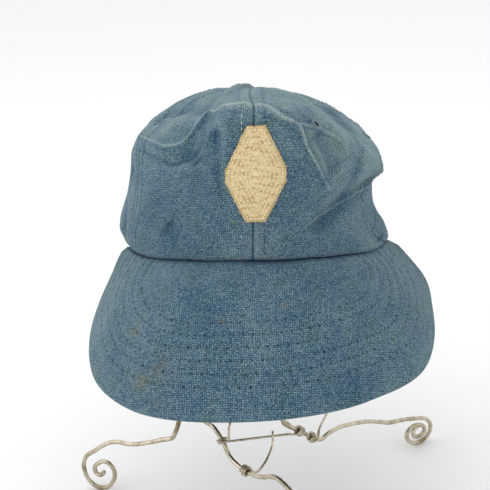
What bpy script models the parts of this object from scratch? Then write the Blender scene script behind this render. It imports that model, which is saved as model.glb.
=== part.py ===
# A six-panel cloth cap with a drooping peak, standing on a bent wire hat stand.
# Metres, +Z up. The cap faces -Y and the stand's feet touch Z = 0. Names say left and right as
# seen from the front, so that right is +X.
# The cap's own frame has its origin in the middle of its rim.

import math

import bmesh
import bpy
import numpy as np
from mathutils import Matrix, Vector

COLLECTION_NAME = "six_panel_cap"

# Cap
HEAD_WIDTH = 0.158
HEAD_LENGTH = 0.194
CROWN_HEIGHT = 0.100
CROWN_LEAN = 0.04
CLOTH = 0.0016
PIECE_GAP = 0.0003
SEAM_DIP = 0.0007
SEAM_SPREAD = 0.0030
TIP_SHARE = 0.972

# The shoulder is the line between the wall and the top, at this share of the way up a panel.
SHOULDER_SHARE = 0.56
APEX_SIDE, APEX_BACK, APEX_UP = 0.02, 0.06, 0.78

# Peak
PEAK_WIDTH = 0.184
PEAK_REACH = 0.058
PEAK_HANG = 0.061
PEAK_TURN = 73
PEAK_BOARD = 0.0032
PEAK_GAP = 0.0009
# The peak bulges at this angle above the level, in radians, and is cut off just before its
# pointed ends.
PEAK_BULGE = 1.0
PEAK_CUT = 0.985
# Its inner edge is tucked under the hem by this much at the front and not at all at the ends.
PEAK_TUCK = 0.0035

# Lozenge of felt on the front
PATCH_WIDTH = 0.031
PATCH_HEIGHT = 0.048
PATCH_TIP = 0.010
PATCH_FELT = 0.0014
PATCH_TURN = 1.0
PATCH_SHARE = 0.325
PATCH_SLOPE = 0.86
PATCH_GAP = 0.0004

# Covered button and worked eyelets
BUTTON_DIAMETER = 0.015
BUTTON_HEIGHT = 0.0036
BUTTON_CLEARANCE = 0.0012
EYELET_DIAMETER = 0.0062
EYELET_THREAD = 0.0013

# Stand
RIM_HEIGHT = 0.165
WIRE = 0.0028
TIE_WIRE = 0.0014
HIP_HEIGHT = 0.060
ARM_CLEARANCE = 0.0007
CAP_AT_X = 0.0029
CAP_AT_Y = 0.0307

# Crown sections, one row for each bearing round the head, 0 at the front and 90 at the right.
# rim, shoulder and top are shares of the crown's height, and top is half way from shoulder to apex.
# hem, waist, belly and edge are shares of half the head's width and length, at the rim, a third, two
# thirds and all of the way up the wall. bend is the share of the panel that rounds the shoulder.
SECTION_COLUMNS = ("bearing", "rim", "hem", "waist", "belly", "edge", "shoulder", "top", "bend")
SECTIONS = (
    (0, 0.155, 1.000, 1.00, 0.97, 0.90, 0.950, 0.95, 0.035),
    (10, 0.150, 1.000, 1.00, 0.97, 0.90, 0.943, 0.935, 0.035),
    (20, 0.140, 1.000, 1.00, 0.97, 0.90, 0.915, 0.92, 0.035),
    (30, 0.120, 1.000, 0.99, 0.97, 0.91, 0.860, 0.89, 0.045),
    (40, 0.095, 1.000, 0.97, 0.96, 0.91, 0.755, 0.84, 0.060),
    (54, 0.050, 1.000, 0.90, 0.93, 0.92, 0.620, 0.755, 0.090),
    (74, 0.015, 0.985, 0.82, 0.89, 0.90, 0.515, 0.675, 0.120),
    (96, 0.000, 0.940, 0.85, 0.89, 0.90, 0.495, 0.665, 0.130),
    (125, 0.000, 0.945, 0.93, 0.93, 0.90, 0.515, 0.695, 0.140),
    (155, 0.010, 0.980, 0.97, 0.95, 0.90, 0.535, 0.71, 0.150),
    (180, 0.020, 1.000, 0.97, 0.95, 0.90, 0.550, 0.73, 0.150),
    (205, 0.010, 1.000, 0.97, 0.95, 0.90, 0.560, 0.74, 0.150),
    (235, 0.000, 1.000, 0.98, 0.96, 0.91, 0.580, 0.76, 0.130),
    (264, -0.010, 1.000, 1.00, 0.95, 0.92, 0.590, 0.805, 0.090),
    (286, 0.010, 1.000, 0.99, 0.95, 0.92, 0.625, 0.85, 0.060),
    (304, 0.050, 1.000, 1.00, 0.96, 0.92, 0.660, 0.86, 0.050),
    (318, 0.085, 1.000, 0.99, 0.96, 0.92, 0.650, 0.88, 0.050),
    (328, 0.115, 1.000, 0.99, 0.96, 0.93, 0.630, 0.89, 0.045),
    (336, 0.135, 1.000, 1.00, 0.96, 0.92, 0.710, 0.93, 0.045),
    (344, 0.145, 1.000, 1.00, 0.97, 0.90, 0.880, 0.96, 0.040),
    (352, 0.155, 1.000, 1.00, 0.97, 0.90, 0.940, 0.96, 0.035),
)

# Folds in the cloth. spread and lift are shares of the crown's height, and a hollow has a lift
# below zero. A sharp fold comes to an edge. The line has bearings and shares up the panel.
FOLD_COLUMNS = ("name", "sharp", "spread", "lift", "line")
FOLDS = (
    ("front crease", True, 0.06, 0.026, ((8, 0.555), (15, 0.53), (20, 0.49), (26, 0.40), (30, 0.30))),
    ("hollow beside the crease", False, 0.08, -0.040, ((24, 0.50), (28, 0.45), (31, 0.40), (35, 0.34))),
    ("right shoulder", False, 0.06, 0.024, ((21, 0.51), (26, 0.51), (31, 0.50), (41, 0.46))),
    ("right pillow", False, 0.18, 0.040, ((46, 0.44), (58, 0.42), (72, 0.42))),
    ("right valley", False, 0.07, -0.060,
     ((104, 0.30), (80, 0.33), (58, 0.34), (44, 0.27), (31, 0.16), (20, 0.09))),
    ("valley beside the patch", False, 0.05, -0.036, ((-17, 0.55), (-14, 0.40), (-12, 0.22))),
    ("edge beside the patch", True, 0.04, 0.012, ((-12, 0.54), (-11, 0.38), (-10, 0.26))),
    ("left notch", False, 0.07, -0.040, ((-38, 0.60), (-33, 0.54), (-29, 0.48), (-26, 0.42))),
    ("left top ridge", False, 0.06, 0.026, ((-48, 0.58), (-45, 0.64), (-36, 0.66), (-24, 0.64))),
    ("left top channel", False, 0.05, -0.024, ((-68, 0.60), (-66, 0.66), (-50, 0.70), (-30, 0.69))),
    ("left dimple", False, 0.09, -0.026, ((-38, 0.20), (-30, 0.10))),
    ("left kink", False, 0.06, -0.020, ((-80, 0.40), (-66, 0.36))),
    ("left low bulge", False, 0.12, 0.026, ((-90, 0.10), (-72, 0.10))),
)

# An edged fold falls off at this rate. Every fold fades over this share of its length to this
# share of its lift at its ends, and all of them fade out in the hem.
FOLD_SHARPNESS = 1.6
FOLD_FADE = 0.18
FOLD_END = 0.15
HEM_SHARE = 0.06

# Bearing of each seam at the rim, the waist, the shoulder and near the apex.
SEAM_HEIGHTS = (0, 0.28, SHOULDER_SHARE, 0.80)
SEAMS = {
    "front": (0, 0, 0, 0),
    "right_front": (68, 54, 72, 72),
    "right_back": (116, 116, 118, 118),
    "back": (180, 180, 180, 180),
    "left_back": (244, 244, 242, 242),
    "left_front": (299, 302, 297, 296),
    "front_again": (360, 360, 360, 360),
}
PANELS = {
    "panel_front_right": ("front", "right_front"),
    "panel_side_right": ("right_front", "right_back"),
    "panel_back_right": ("right_back", "back"),
    "panel_back_left": ("back", "left_back"),
    "panel_side_left": ("left_back", "left_front"),
    "panel_front_left": ("left_front", "front_again"),
}
# Bearing and share up the panel of each eyelet. The left front panel's lies inside its notch.
EYELETS = {
    "eyelet_front_right": (27, 0.50),
    "eyelet_side_right": (95, 0.60),
    "eyelet_back_right": (148, 0.60),
    "eyelet_back_left": (212, 0.60),
    "eyelet_side_left": (270, 0.62),
}
PANEL_ACROSS = (0, 0.05, 0.16, 0.28, 0.40, 0.52, 0.64, 0.75, 0.85, 0.95, 1)
PANEL_UP = 22

# Free edge of the peak, from its left end to its right. out is a share of half the peak's width,
# forward a share of the way from its ends to its front, drop a share of the way down to the
# front edge, and bow how far the sheet bulges there, as a share of its own depth.
PEAK_COLUMNS = ("place", "out", "forward", "drop", "bow")
PEAK_EDGE = (
    (-1.00, -0.835, 0.00, 0.00, 0.00),
    (-0.92, -0.93, 0.10, 0.35, 0.02),
    (-0.80, -1.00, 0.27, 0.66, 0.04),
    (-0.62, -0.96, 0.56, 0.89, 0.06),
    (-0.36, -0.69, 0.86, 0.99, 0.08),
    (0.00, -0.03, 1.00, 0.965, 0.08),
    (0.36, 0.64, 0.853, 0.943, 0.08),
    (0.62, 0.985, 0.578, 0.87, 0.06),
    (0.80, 1.05, 0.28, 0.61, 0.04),
    (0.92, 1.00, 0.10, 0.32, 0.02),
    (1.00, 0.84, 0.00, 0.00, 0.00),
)
PEAK_ACROSS = 24
PEAK_OUT = 6

# Legs, each in the upright plane from its hip to its foot. The leg's points are shares of the way
# from hip to foot and of the hips' height. The scroll at its end is as wide and high as named.
LEGS = {
    "leg_left": {
        "hip": (-0.050, -0.040), "foot": (-0.1045, -0.023), "scroll": (0.021, 0.031),
        "line": ((0.00, 0.97), (0.06, 0.87), (0.08, 0.77), (0.27, 0.68), (0.50, 0.62), (0.70, 0.59)),
        "arm": 272, "rise": ((-0.044, -0.037, 0.086), (-0.038, -0.028, 0.160)),
    },
    "leg_right": {
        "hip": (0.012, -0.052), "foot": (0.100, 0.030), "scroll": (0.024, 0.021),
        "line": ((0.00, 1.04), (0.08, 0.90), (0.16, 0.77), (0.25, 0.65), (0.36, 0.67), (0.50, 0.62),
                 (0.62, 0.56), (0.74, 0.46)),
        "arm": 92, "rise": ((0.016, -0.044, 0.085), (0.026, -0.030, 0.160)),
    },
    "leg_front": {
        "hip": (-0.037, -0.046), "foot": (0.056, -0.148), "scroll": (0.024, 0.028),
        "line": ((0.00, 1.04), (0.09, 1.02), (0.15, 0.92), (0.19, 0.80), (0.28, 0.74), (0.38, 0.76),
                 (0.49, 0.86), (0.60, 0.79), (0.74, 0.66)),
        "arm": 195, "rise": ((-0.0402, -0.037, 0.086), (-0.012, -0.020, 0.160)),
    },
}
# A scroll's points are this angle apart, so that two of them share its flat foot on the floor.
SCROLL_STEP = 24
SCROLL_POINTS = 19
SCROLL_FOOT = 8
SCROLL_TIGHTEN = 0.66
ARM_FROM, ARM_TO = 0.86, 0.68
RISE_STEP = 0.012
LEG_STEP = 0.0062

# Places where thin wire is wound round the legs, in the cap's own plan, heights from the floor.
BRACE_LEFT = (-0.023, -0.062, 0.053)
BRACE_RIGHT = (0.021, -0.044, 0.052)
LOW_TIE = (-0.010, -0.073, 0.045)
HIGH_TIE = (-0.042, -0.037, 0.086)
SPARE_TIE = (0.027, -0.038, 0.045)
TURN_POINTS = 8
WINDING_PITCH = TIE_WIRE + PIECE_GAP
LEFT_TURNS, RIGHT_TURNS, HOOK_TURNS = 1.5, 2.5, 0.375
HOOK_ABOVE = 0.8
LOW_TURNS, SPARE_TURNS, HIGH_TURNS = 2.5, 2, 3
# The low tie crosses the brace at this share of its run between the legs.
LOW_CROSSING = 0.4
HIGH_SLACK = 1.15
# Loose ends of the thin wires, from the middle of the winding that they leave.
BRACE_END = ((-0.001, -0.0045, 0.008), (-0.001, -0.0045, 0.017))
SPARE_END = ((0.005, -0.005, 0.009), (0.011, -0.005, 0.022))

CLOTH_COLOR = (0.095, 0.155, 0.205, 1)
PATCH_COLOR = (0.58, 0.49, 0.30, 1)
WIRE_COLOR = (0.62, 0.56, 0.45, 1)


def clear_scene():
    for obj in list(bpy.data.objects):
        bpy.data.objects.remove(obj, do_unlink=True)


def make_collection(name):
    collection = bpy.data.collections.new(name)
    bpy.context.scene.collection.children.link(collection)
    return collection


def make_material(name, color, roughness, metallic):
    material = bpy.data.materials.new(name)
    material.use_nodes = True
    shader = material.node_tree.nodes["Principled BSDF"]
    shader.inputs["Base Color"].default_value = color
    shader.inputs["Roughness"].default_value = roughness
    shader.inputs["Metallic"].default_value = metallic
    return material


def cubic_through(stations, values, x):
    """Smooth curve through the values at the stations, with each slope taken from its neighbours."""
    slopes = np.gradient(values, stations)
    i = np.clip(np.searchsorted(stations, x, side="right") - 1, 0, len(stations) - 2)
    h = stations[i + 1] - stations[i]
    s = (x - stations[i]) / h
    start = (2 * s**3 - 3 * s**2 + 1) * values[i] + (s**3 - 2 * s**2 + s) * h * slopes[i]
    end = (3 * s**2 - 2 * s**3) * values[i + 1] + (s**3 - s**2) * h * slopes[i + 1]
    return start + end


def section(column, turn):
    """A column of the section table at any bearing in radians, closed round the head."""
    k = SECTION_COLUMNS.index(column)
    bearings = np.radians([row[0] for row in SECTIONS])
    values = np.array([row[k] for row in SECTIONS], float)
    circle = 2 * math.pi
    stations = np.concatenate([bearings - circle, bearings, bearings + circle])
    return cubic_through(stations, np.tile(values, 3), np.mod(turn, circle))


def from_shares(turn, out, up):
    """A point of the cap from its bearing, its share outwards and its share of the crown's height."""
    height = CROWN_HEIGHT * up
    x = HEAD_WIDTH / 2 * out * np.sin(turn) + CROWN_LEAN * height
    y = -HEAD_LENGTH / 2 * out * np.cos(turn)
    return np.stack([x, y, height], -1)


def wall_point(turn, s):
    """The wall from rim (s = 0) to shoulder (s = 1), a cubic through hem, waist, belly and edge."""
    hem_part = -4.5 * (s - 1 / 3) * (s - 2 / 3) * (s - 1)
    waist_part = 13.5 * s * (s - 2 / 3) * (s - 1)
    belly_part = -13.5 * s * (s - 1 / 3) * (s - 1)
    edge_part = 4.5 * s * (s - 1 / 3) * (s - 2 / 3)
    out = hem_part * section("hem", turn) + waist_part * section("waist", turn)
    out = out + belly_part * section("belly", turn) + edge_part * section("edge", turn)
    up = section("rim", turn) * (1 - s) + section("shoulder", turn) * s
    return from_shares(turn, out, up)


def top_point(turn, s):
    """The top from shoulder (s = 0) to apex (s = 1), a parabola through shoulder, top and apex."""
    up = section("shoulder", turn) * (2 * s - 1) * (s - 1) + section("top", turn) * 4 * s * (1 - s)
    up = up + APEX_UP * s * (2 * s - 1)
    point = from_shares(turn, section("edge", turn) * (1 - s), up)
    shift = np.array([HEAD_WIDTH / 2 * APEX_SIDE, HEAD_LENGTH / 2 * APEX_BACK, 0])
    return point + shift * s[..., None]


def plain_crown(turn, share):
    """The crown without its folds: wall, rounded shoulder and top, by bearing and share upwards."""
    bend = section("bend", turn)
    wall = wall_point(turn, np.clip(share / SHOULDER_SHARE, 0, 1))
    top = top_point(turn, np.clip((share - SHOULDER_SHARE) / (1 - SHOULDER_SHARE), 0, 1))
    before = wall_point(turn, (SHOULDER_SHARE - bend) / SHOULDER_SHARE)
    corner = wall_point(turn, np.ones_like(share))
    after = top_point(turn, bend / (1 - SHOULDER_SHARE))
    q = np.clip((share - SHOULDER_SHARE + bend) / (2 * bend), 0, 1)[..., None]
    rounded = before * (1 - q) ** 2 + 2 * corner * q * (1 - q) + after * q**2
    point = np.where((share < SHOULDER_SHARE)[..., None], wall, top)
    return np.where((np.abs(share - SHOULDER_SHARE) < bend)[..., None], rounded, point)


def outward(surface, turn, share):
    """Unit normals of a surface of bearing and share, facing out of the cap."""
    step = 1e-3
    across = surface(turn + step, share) - surface(turn - step, share)
    up = surface(turn, np.minimum(share + step, 1 - step)) - surface(turn, np.maximum(share - step, 0))
    normal = np.cross(across, up)
    return normal / np.linalg.norm(normal, axis=-1, keepdims=True)


def fold_line(line, count=24):
    """Points along a fold on the plain crown."""
    k = np.linspace(0, len(line) - 1, count)
    rows = np.arange(len(line))
    turn = np.radians(np.interp(k, rows, [p[0] for p in line]))
    return plain_crown(turn, np.interp(k, rows, [p[1] for p in line]))


def nearest_on_line(line, point):
    """Distance from each point to a line of points, and the share of the line where it is nearest."""
    distance = np.full(point.shape[:-1], np.inf)
    along = np.zeros(point.shape[:-1])
    count = len(line) - 1
    for i in range(count):
        run = line[i + 1] - line[i]
        s = np.clip((point - line[i]) @ run / (run @ run), 0, 1)
        away = np.linalg.norm(point - line[i] - s[..., None] * run, axis=-1)
        nearer = away < distance
        distance = np.where(nearer, away, distance)
        along = np.where(nearer, (i + s) / count, along)
    return distance, along


def fold_lift(point):
    """How far the folds lift the cloth at each point, fading out at the two ends of each fold."""
    lift = np.zeros(point.shape[:-1])
    for row in FOLDS:
        fold = dict(zip(FOLD_COLUMNS, row))
        distance, along = nearest_on_line(fold_line(fold["line"]), point)
        u = distance / (fold["spread"] * CROWN_HEIGHT)
        shape = np.exp(-FOLD_SHARPNESS * u) if fold["sharp"] else np.exp(-u * u)
        fade = np.clip(np.minimum(along, 1 - along) / FOLD_FADE, 0, 1)
        fade = FOLD_END + (1 - FOLD_END) * fade * fade * (3 - 2 * fade)
        lift = lift + fold["lift"] * CROWN_HEIGHT * shape * fade
    return lift


def crown(turn, share):
    """The outer face of the crown: the plain crown lifted along its normals by the folds."""
    point = plain_crown(turn, share)
    lift = fold_lift(point) * np.clip(share / HEM_SHARE, 0, 1)
    return point + outward(plain_crown, turn, share) * lift[..., None]


def panel_points(first_seam, last_seam, across, up):
    """Grid of points of one panel, its edges rolled in at the seams and half a gap short of them."""
    u, share = np.meshgrid(across, up, indexing="ij")
    first = np.radians(np.interp(share, SEAM_HEIGHTS, SEAMS[first_seam]))
    last = np.radians(np.interp(share, SEAM_HEIGHTS, SEAMS[last_seam]))
    turn = first + (last - first) * u
    point = crown(turn, share)
    steps = np.linalg.norm(np.diff(point, axis=0), axis=-1)
    arc = np.concatenate([np.zeros((1, share.shape[1])), np.cumsum(steps, axis=0)])
    from_seam = np.minimum(arc, arc[-1] - arc)
    dip = SEAM_DIP * np.exp(-((from_seam / SEAM_SPREAD) ** 2))
    point = point - outward(plain_crown, turn, share) * dip[..., None]
    for edge, inner in ((0, 1), (-1, -2)):
        inward = point[inner] - point[edge]
        inward = inward / np.linalg.norm(inward, axis=-1, keepdims=True)
        point[edge] = point[edge] + inward * PIECE_GAP / 2
    return point


def peak_column(column, place):
    k = PEAK_COLUMNS.index(column)
    stations = np.array([row[0] for row in PEAK_EDGE], float)
    values = np.array([row[k] for row in PEAK_EDGE], float)
    return cubic_through(stations, values, place)


def peak_point(place, s):
    """The peak's upper face, from the crown (s = 0) to the free edge (s = 1)."""
    zero = np.zeros_like(place)
    turn = np.radians(PEAK_TURN)
    inner = plain_crown(place * turn, zero)
    front = plain_crown(zero, zero)
    end = plain_crown(np.where(place < 0, -turn, turn), zero)
    y_end = -HEAD_LENGTH / 2 * math.cos(turn)
    x = PEAK_WIDTH / 2 * peak_column("out", place)
    y = y_end + (-HEAD_LENGTH / 2 - PEAK_REACH - y_end) * peak_column("forward", place)
    z = end[..., 2] + (front[..., 2] - PEAK_HANG - end[..., 2]) * peak_column("drop", place)
    outer = np.stack([x, y, z], -1)
    point = inner + (outer - inner) * s[..., None]
    depth = np.linalg.norm(outer - inner, axis=-1)
    rise = peak_column("bow", place) * depth * 4 * s * (1 - s)
    out, up = math.cos(PEAK_BULGE), math.sin(PEAK_BULGE)
    bulge = np.stack([out * np.sin(place * turn), -out * np.cos(place * turn), up + zero], -1)
    return point + bulge * rise[..., None] - np.array([0, 0, PEAK_GAP])


def patch_point(side, height):
    """The lozenge's back face, by its share across (-1 to 1) and upwards (-1 to 1)."""
    slope = np.clip((1 - np.abs(height)) / PATCH_SLOPE, 0, 1)
    half = PATCH_TIP / 2 + (PATCH_WIDTH - PATCH_TIP) / 2 * slope
    zero = np.zeros(1)
    wall = (section("shoulder", zero) - section("rim", zero)) * CROWN_HEIGHT
    share = PATCH_SHARE + height * PATCH_HEIGHT / 2 * SHOULDER_SHARE / wall
    turn = np.radians(PATCH_TURN) + np.arcsin(side * half / (HEAD_WIDTH / 2))
    return crown(turn, share) + outward(plain_crown, turn, share) * PATCH_GAP


def sheet(name, points, flip, thickness, offset, material, collection, parent):
    """An open grid of quads given its thickness by Solidify."""
    columns, rows = points.shape[:2]
    index = np.arange(columns * rows).reshape(columns, rows)
    corners = [index[:-1, :-1], index[1:, :-1], index[1:, 1:], index[:-1, 1:]]
    if flip:
        corners.reverse()
    faces = np.stack(corners, -1).reshape(-1, 4)
    mesh = bpy.data.meshes.new(name)
    mesh.from_pydata(points.reshape(-1, 3).tolist(), [], faces.tolist())
    mesh.materials.append(material)
    mesh.shade_smooth()
    obj = add_object(name, mesh, collection, parent)
    solidify = obj.modifiers.new("Thickness", "SOLIDIFY")
    solidify.thickness = thickness
    solidify.offset = offset
    return obj


def add_object(name, data, collection, parent):
    obj = bpy.data.objects.new(name, data)
    obj.parent = parent
    collection.objects.link(obj)
    return obj


def make_panels(material, collection, cap):
    up = np.linspace(0, TIP_SHARE, PANEL_UP)
    for name, (first_seam, last_seam) in PANELS.items():
        points = panel_points(first_seam, last_seam, PANEL_ACROSS, up)
        sheet(name, points, False, CLOTH, -1, material, collection, cap)


def make_peak(material, collection, cap):
    across = np.linspace(-PEAK_CUT, PEAK_CUT, PEAK_ACROSS + 1)
    place, s = np.meshgrid(across, np.linspace(0, 1, PEAK_OUT + 1), indexing="ij")
    points = peak_point(place, s)
    turn = across * np.radians(PEAK_TURN)
    inward = np.stack([-np.sin(turn), np.cos(turn), np.zeros_like(turn)], -1)
    tuck = points[:, 0] + inward * (PEAK_TUCK * (1 - across**2) ** 2)[:, None]
    points = np.concatenate([tuck[:, None], points], axis=1)
    sheet("peak", points, True, PEAK_BOARD, -1, material, collection, cap)


def make_patch(material, collection, cap):
    height = np.array([-1, -0.72, -0.43, -0.14, 0.14, 0.43, 0.72, 1])
    side, height = np.meshgrid(np.linspace(-1, 1, 7), height, indexing="ij")
    sheet("front_patch", patch_point(side, height), False, PATCH_FELT, 1, material, collection, cap)


def apex_frame():
    """The apex of the crown and the direction that it faces, the mean of the panels' tips."""
    turn = np.linspace(0, 2 * math.pi, 24, endpoint=False)
    share = np.full_like(turn, TIP_SHARE)
    normal = outward(plain_crown, turn, share).mean(axis=0)
    return crown(turn, share).mean(axis=0), normal / np.linalg.norm(normal)


def facing(point, normal):
    """A matrix that stands an upright piece on a point, along a normal."""
    turn = Vector(normal).to_track_quat("Z", "Y").to_matrix().to_4x4()
    return Matrix.Translation(Vector(point)) @ turn


def make_button(material, collection, cap):
    """A turned dome with a flat underside."""
    radius = BUTTON_DIAMETER / 2
    steps = 5
    mesh = bpy.data.meshes.new("button")
    lift = BUTTON_CLEARANCE
    profile = [(0, 0, BUTTON_HEIGHT + lift)]
    for i in range(1, steps + 1):
        angle = math.pi / 2 * (1 - i / steps)
        profile.append((radius * math.cos(angle), 0, lift + BUTTON_HEIGHT * math.sin(angle)))
    profile.append((0, 0, lift))
    edges = [(i, i + 1) for i in range(len(profile) - 1)]
    mesh.from_pydata(profile, edges, [])
    mesh.materials.append(material)
    obj = add_object("button", mesh, collection, cap)
    obj.matrix_local = facing(*apex_frame())
    screw = obj.modifiers.new("Turn", "SCREW")
    screw.steps = 16
    screw.render_steps = 16
    screw.use_merge_vertices = True
    screw.merge_threshold = 0.00005
    screw.use_smooth_shade = True


def make_eyelets(material, collection, cap):
    """One worked ring in the upper middle of each panel."""
    ring = bpy.data.meshes.new("eyelet")
    builder = bmesh.new()
    major = (EYELET_DIAMETER - EYELET_THREAD) / 2
    circle = bmesh.ops.create_circle(builder, radius=EYELET_THREAD / 2, segments=4)
    bmesh.ops.rotate(builder, verts=circle["verts"], matrix=Matrix.Rotation(math.pi / 2, 3, "X"))
    bmesh.ops.translate(builder, verts=circle["verts"], vec=(major, 0, 0))
    bmesh.ops.spin(builder, geom=builder.verts[:] + builder.edges[:], axis=(0, 0, 1), cent=(0, 0, 0),
                   angle=2 * math.pi, steps=10, use_merge=True)
    bmesh.ops.remove_doubles(builder, verts=builder.verts[:], dist=0.00001)
    bmesh.ops.recalc_face_normals(builder, faces=builder.faces[:])
    builder.to_mesh(ring)
    builder.free()
    ring.materials.append(material)
    for name, (bearing, height) in EYELETS.items():
        turn, share = np.array([math.radians(bearing)]), np.array([height])
        normal = outward(crown, turn, share)[0]
        point = crown(turn, share)[0]
        seat = highest_under(point, normal, turn, share)
        obj = add_object(name, ring, collection, cap)
        obj.matrix_local = facing(point + normal * (seat + EYELET_THREAD / 2 + PIECE_GAP), normal)


def highest_under(point, normal, turn, share):
    """How far the cloth under an eyelet rises above the plane of its middle."""
    angle = np.linspace(0, 2 * math.pi, 24)
    around = EYELET_DIAMETER / 2 * np.cos(angle) / (HEAD_WIDTH / 2)
    above = EYELET_DIAMETER / 2 * np.sin(angle) / (CROWN_HEIGHT / SHOULDER_SHARE)
    cloth = crown(turn + around, share + above)
    return max(((cloth - point) @ normal).max(), 0)


def smooth_path(points, step):
    """Points at about equal steps along a smooth curve through the given points."""
    points = np.array(points, float)
    stations = np.concatenate([[0], np.cumsum(np.linalg.norm(np.diff(points, axis=0), axis=1))])
    count = max(int(round(stations[-1] / step)), 2)
    x = np.linspace(0, stations[-1], count + 1)
    return np.stack([cubic_through(stations, points[:, k], x) for k in range(3)], -1)


def scroll_points(leg):
    """The scroll at the foot in its own plane: along the leg, and up from the floor."""
    width, height = leg["scroll"]
    half_step = math.radians(SCROLL_STEP / 2)
    lowest = WIRE / 2 * math.cos(math.pi / 8) * math.cos(half_step)
    k = np.arange(SCROLL_POINTS)
    past_foot = np.clip((k - SCROLL_FOOT) / (SCROLL_POINTS - 1 - SCROLL_FOOT), 0, 1)
    size = 1 - SCROLL_TIGHTEN * past_foot**1.3
    angle = np.radians(90 - SCROLL_STEP * k)
    middle = lowest + height / 2 * math.cos(half_step)
    return np.stack([width / 2 * size * np.cos(angle), middle + height / 2 * size * np.sin(angle)], -1)


def leg_route(leg):
    """Route of one wire: arm under the crown, rise through the rim, hip, leg and scroll."""
    hip, foot = np.array(leg["hip"]), np.array(leg["foot"])
    reach = foot - hip
    ahead = reach / np.linalg.norm(reach)
    arm_turn = np.full(3, math.radians(leg["arm"]))
    arm_share = np.linspace(ARM_TO, ARM_FROM, 3)
    under = CLOTH + ARM_CLEARANCE + WIRE / 2
    arm = crown(arm_turn, arm_share) - outward(crown, arm_turn, arm_share) * under
    arm = arm + np.array([0, 0, RIM_HEIGHT])
    line = [(*(hip + reach * along), HIP_HEIGHT * up) for along, up in leg["line"]]
    scroll = np.array([(*(foot + ahead * out), up) for out, up in scroll_points(leg)])
    above = smooth_path([*arm, *reversed(leg["rise"]), *line[:2]], RISE_STEP)
    below = smooth_path([leg["rise"][0], *line, scroll[0], scroll[1]], LEG_STEP)
    hip_above = np.argmin(np.linalg.norm(above - line[0], axis=1))
    hip_below = np.argmin(np.linalg.norm(below - line[0], axis=1))
    scroll_below = np.argmin(np.linalg.norm(below - scroll[0], axis=1))
    return np.concatenate([above[:hip_above], below[hip_below:scroll_below], scroll])


def make_wire(name, path, thickness, resolution, material, collection, parent):
    curve = bpy.data.curves.new(name, "CURVE")
    curve.dimensions = "3D"
    curve.bevel_depth = thickness / 2
    curve.bevel_resolution = resolution
    curve.use_fill_caps = True
    curve.resolution_u = 1
    spline = curve.splines.new("POLY")
    spline.points.add(len(path) - 1)
    for point, place in zip(spline.points, path):
        point.co = (*place, 1)
        point.tilt = math.pi / 8
    curve.materials.append(material)
    return add_object(name, curve, collection, parent)


def nearest_run(path, place):
    """Middle and direction of the straight run of a wire that lies nearest to a place."""
    middles = (path[1:] + path[:-1]) / 2
    i = np.argmin(np.linalg.norm(middles - np.array(place), axis=1))
    run = path[i + 1] - path[i]
    return middles[i], run / np.linalg.norm(run)


def winding(middle, axis, side, turns, first, half_width, half_depth):
    """Turns of thin wire round an axis. first is the angle of the first point from the side."""
    side = np.array(side, float)
    side = side - axis * (side @ axis)
    side = side / np.linalg.norm(side)
    other = np.cross(axis, side)
    count = int(round(turns * TURN_POINTS)) + 1
    f = np.linspace(0, 1, count)[:, None]
    angle = first - 2 * math.pi * turns * f
    around = half_width * np.cos(angle) * side + half_depth * np.sin(angle) * other
    return middle + axis * (f - 0.5) * turns * WINDING_PITCH + around


def round_wire():
    """Radius of a winding round one leg, clear of it although its turns are made of flats."""
    return (WIRE / 2 + TIE_WIRE / 2 + PIECE_GAP) / math.cos(math.pi / TURN_POINTS)


def brace_path(routes):
    """Round the left knot, across in front to the right knot, back behind, and up in a loose end."""
    reach = round_wire()
    forward = (0, -1, 0)
    left, left_axis = nearest_run(routes["leg_front"], BRACE_LEFT)
    right, right_axis = nearest_run(routes["leg_right"], BRACE_RIGHT)
    left_coil = winding(left, left_axis, forward, LEFT_TURNS, math.pi, reach, reach)
    right_coil = winding(right, right_axis, forward, RIGHT_TURNS, 0, reach, reach)
    above = left - left_axis * (LEFT_TURNS + HOOK_TURNS) / 2 * WINDING_PITCH
    above = above - left_axis * HOOK_ABOVE * WINDING_PITCH
    hook = winding(above, left_axis, forward, HOOK_TURNS, math.pi, reach, reach)
    loose_end = left + np.array(BRACE_END)
    return np.concatenate([left_coil, right_coil, hook, loose_end])


def low_tie_path(routes, brace):
    """Turns round the front leg, then up in front of the brace and over it."""
    reach = round_wire()
    middle, axis = nearest_run(routes["leg_front"], LOW_TIE)
    coil = winding(middle, axis, (0, -1, 0), LOW_TURNS, 0, reach, reach)
    start = int(LEFT_TURNS * TURN_POINTS)
    crossing = brace[start] + (brace[start + 1] - brace[start]) * LOW_CROSSING
    clear = TIE_WIRE + PIECE_GAP * 2
    over = np.array([[0, -1, -1], [0, -1, 1], [0, 0, 1.5], [0, 1, 1]]) * clear
    return np.concatenate([coil, crossing + over])


def spare_tie_path(routes):
    """Turns round the right leg that end in a cut end, which stands up."""
    reach = round_wire()
    middle, axis = nearest_run(routes["leg_right"], SPARE_TIE)
    coil = winding(middle, axis, (0, -1, 0), SPARE_TURNS, 0, reach, reach)
    return np.concatenate([coil, middle + np.array(SPARE_END)])


def high_tie_path(routes):
    """Turns round the left and front legs where they pass each other behind the peak."""
    left, left_axis = nearest_run(routes["leg_left"], HIGH_TIE)
    front, front_axis = nearest_run(routes["leg_front"], HIGH_TIE)
    apart = np.linalg.norm(front - left)
    axis = left_axis + front_axis
    axis = axis / np.linalg.norm(axis)
    reach = round_wire()
    middle = (left + front) / 2
    half_width = reach + apart / 2
    return winding(middle, axis, front - left, HIGH_TURNS, 0, half_width, reach * HIGH_SLACK)


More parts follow.
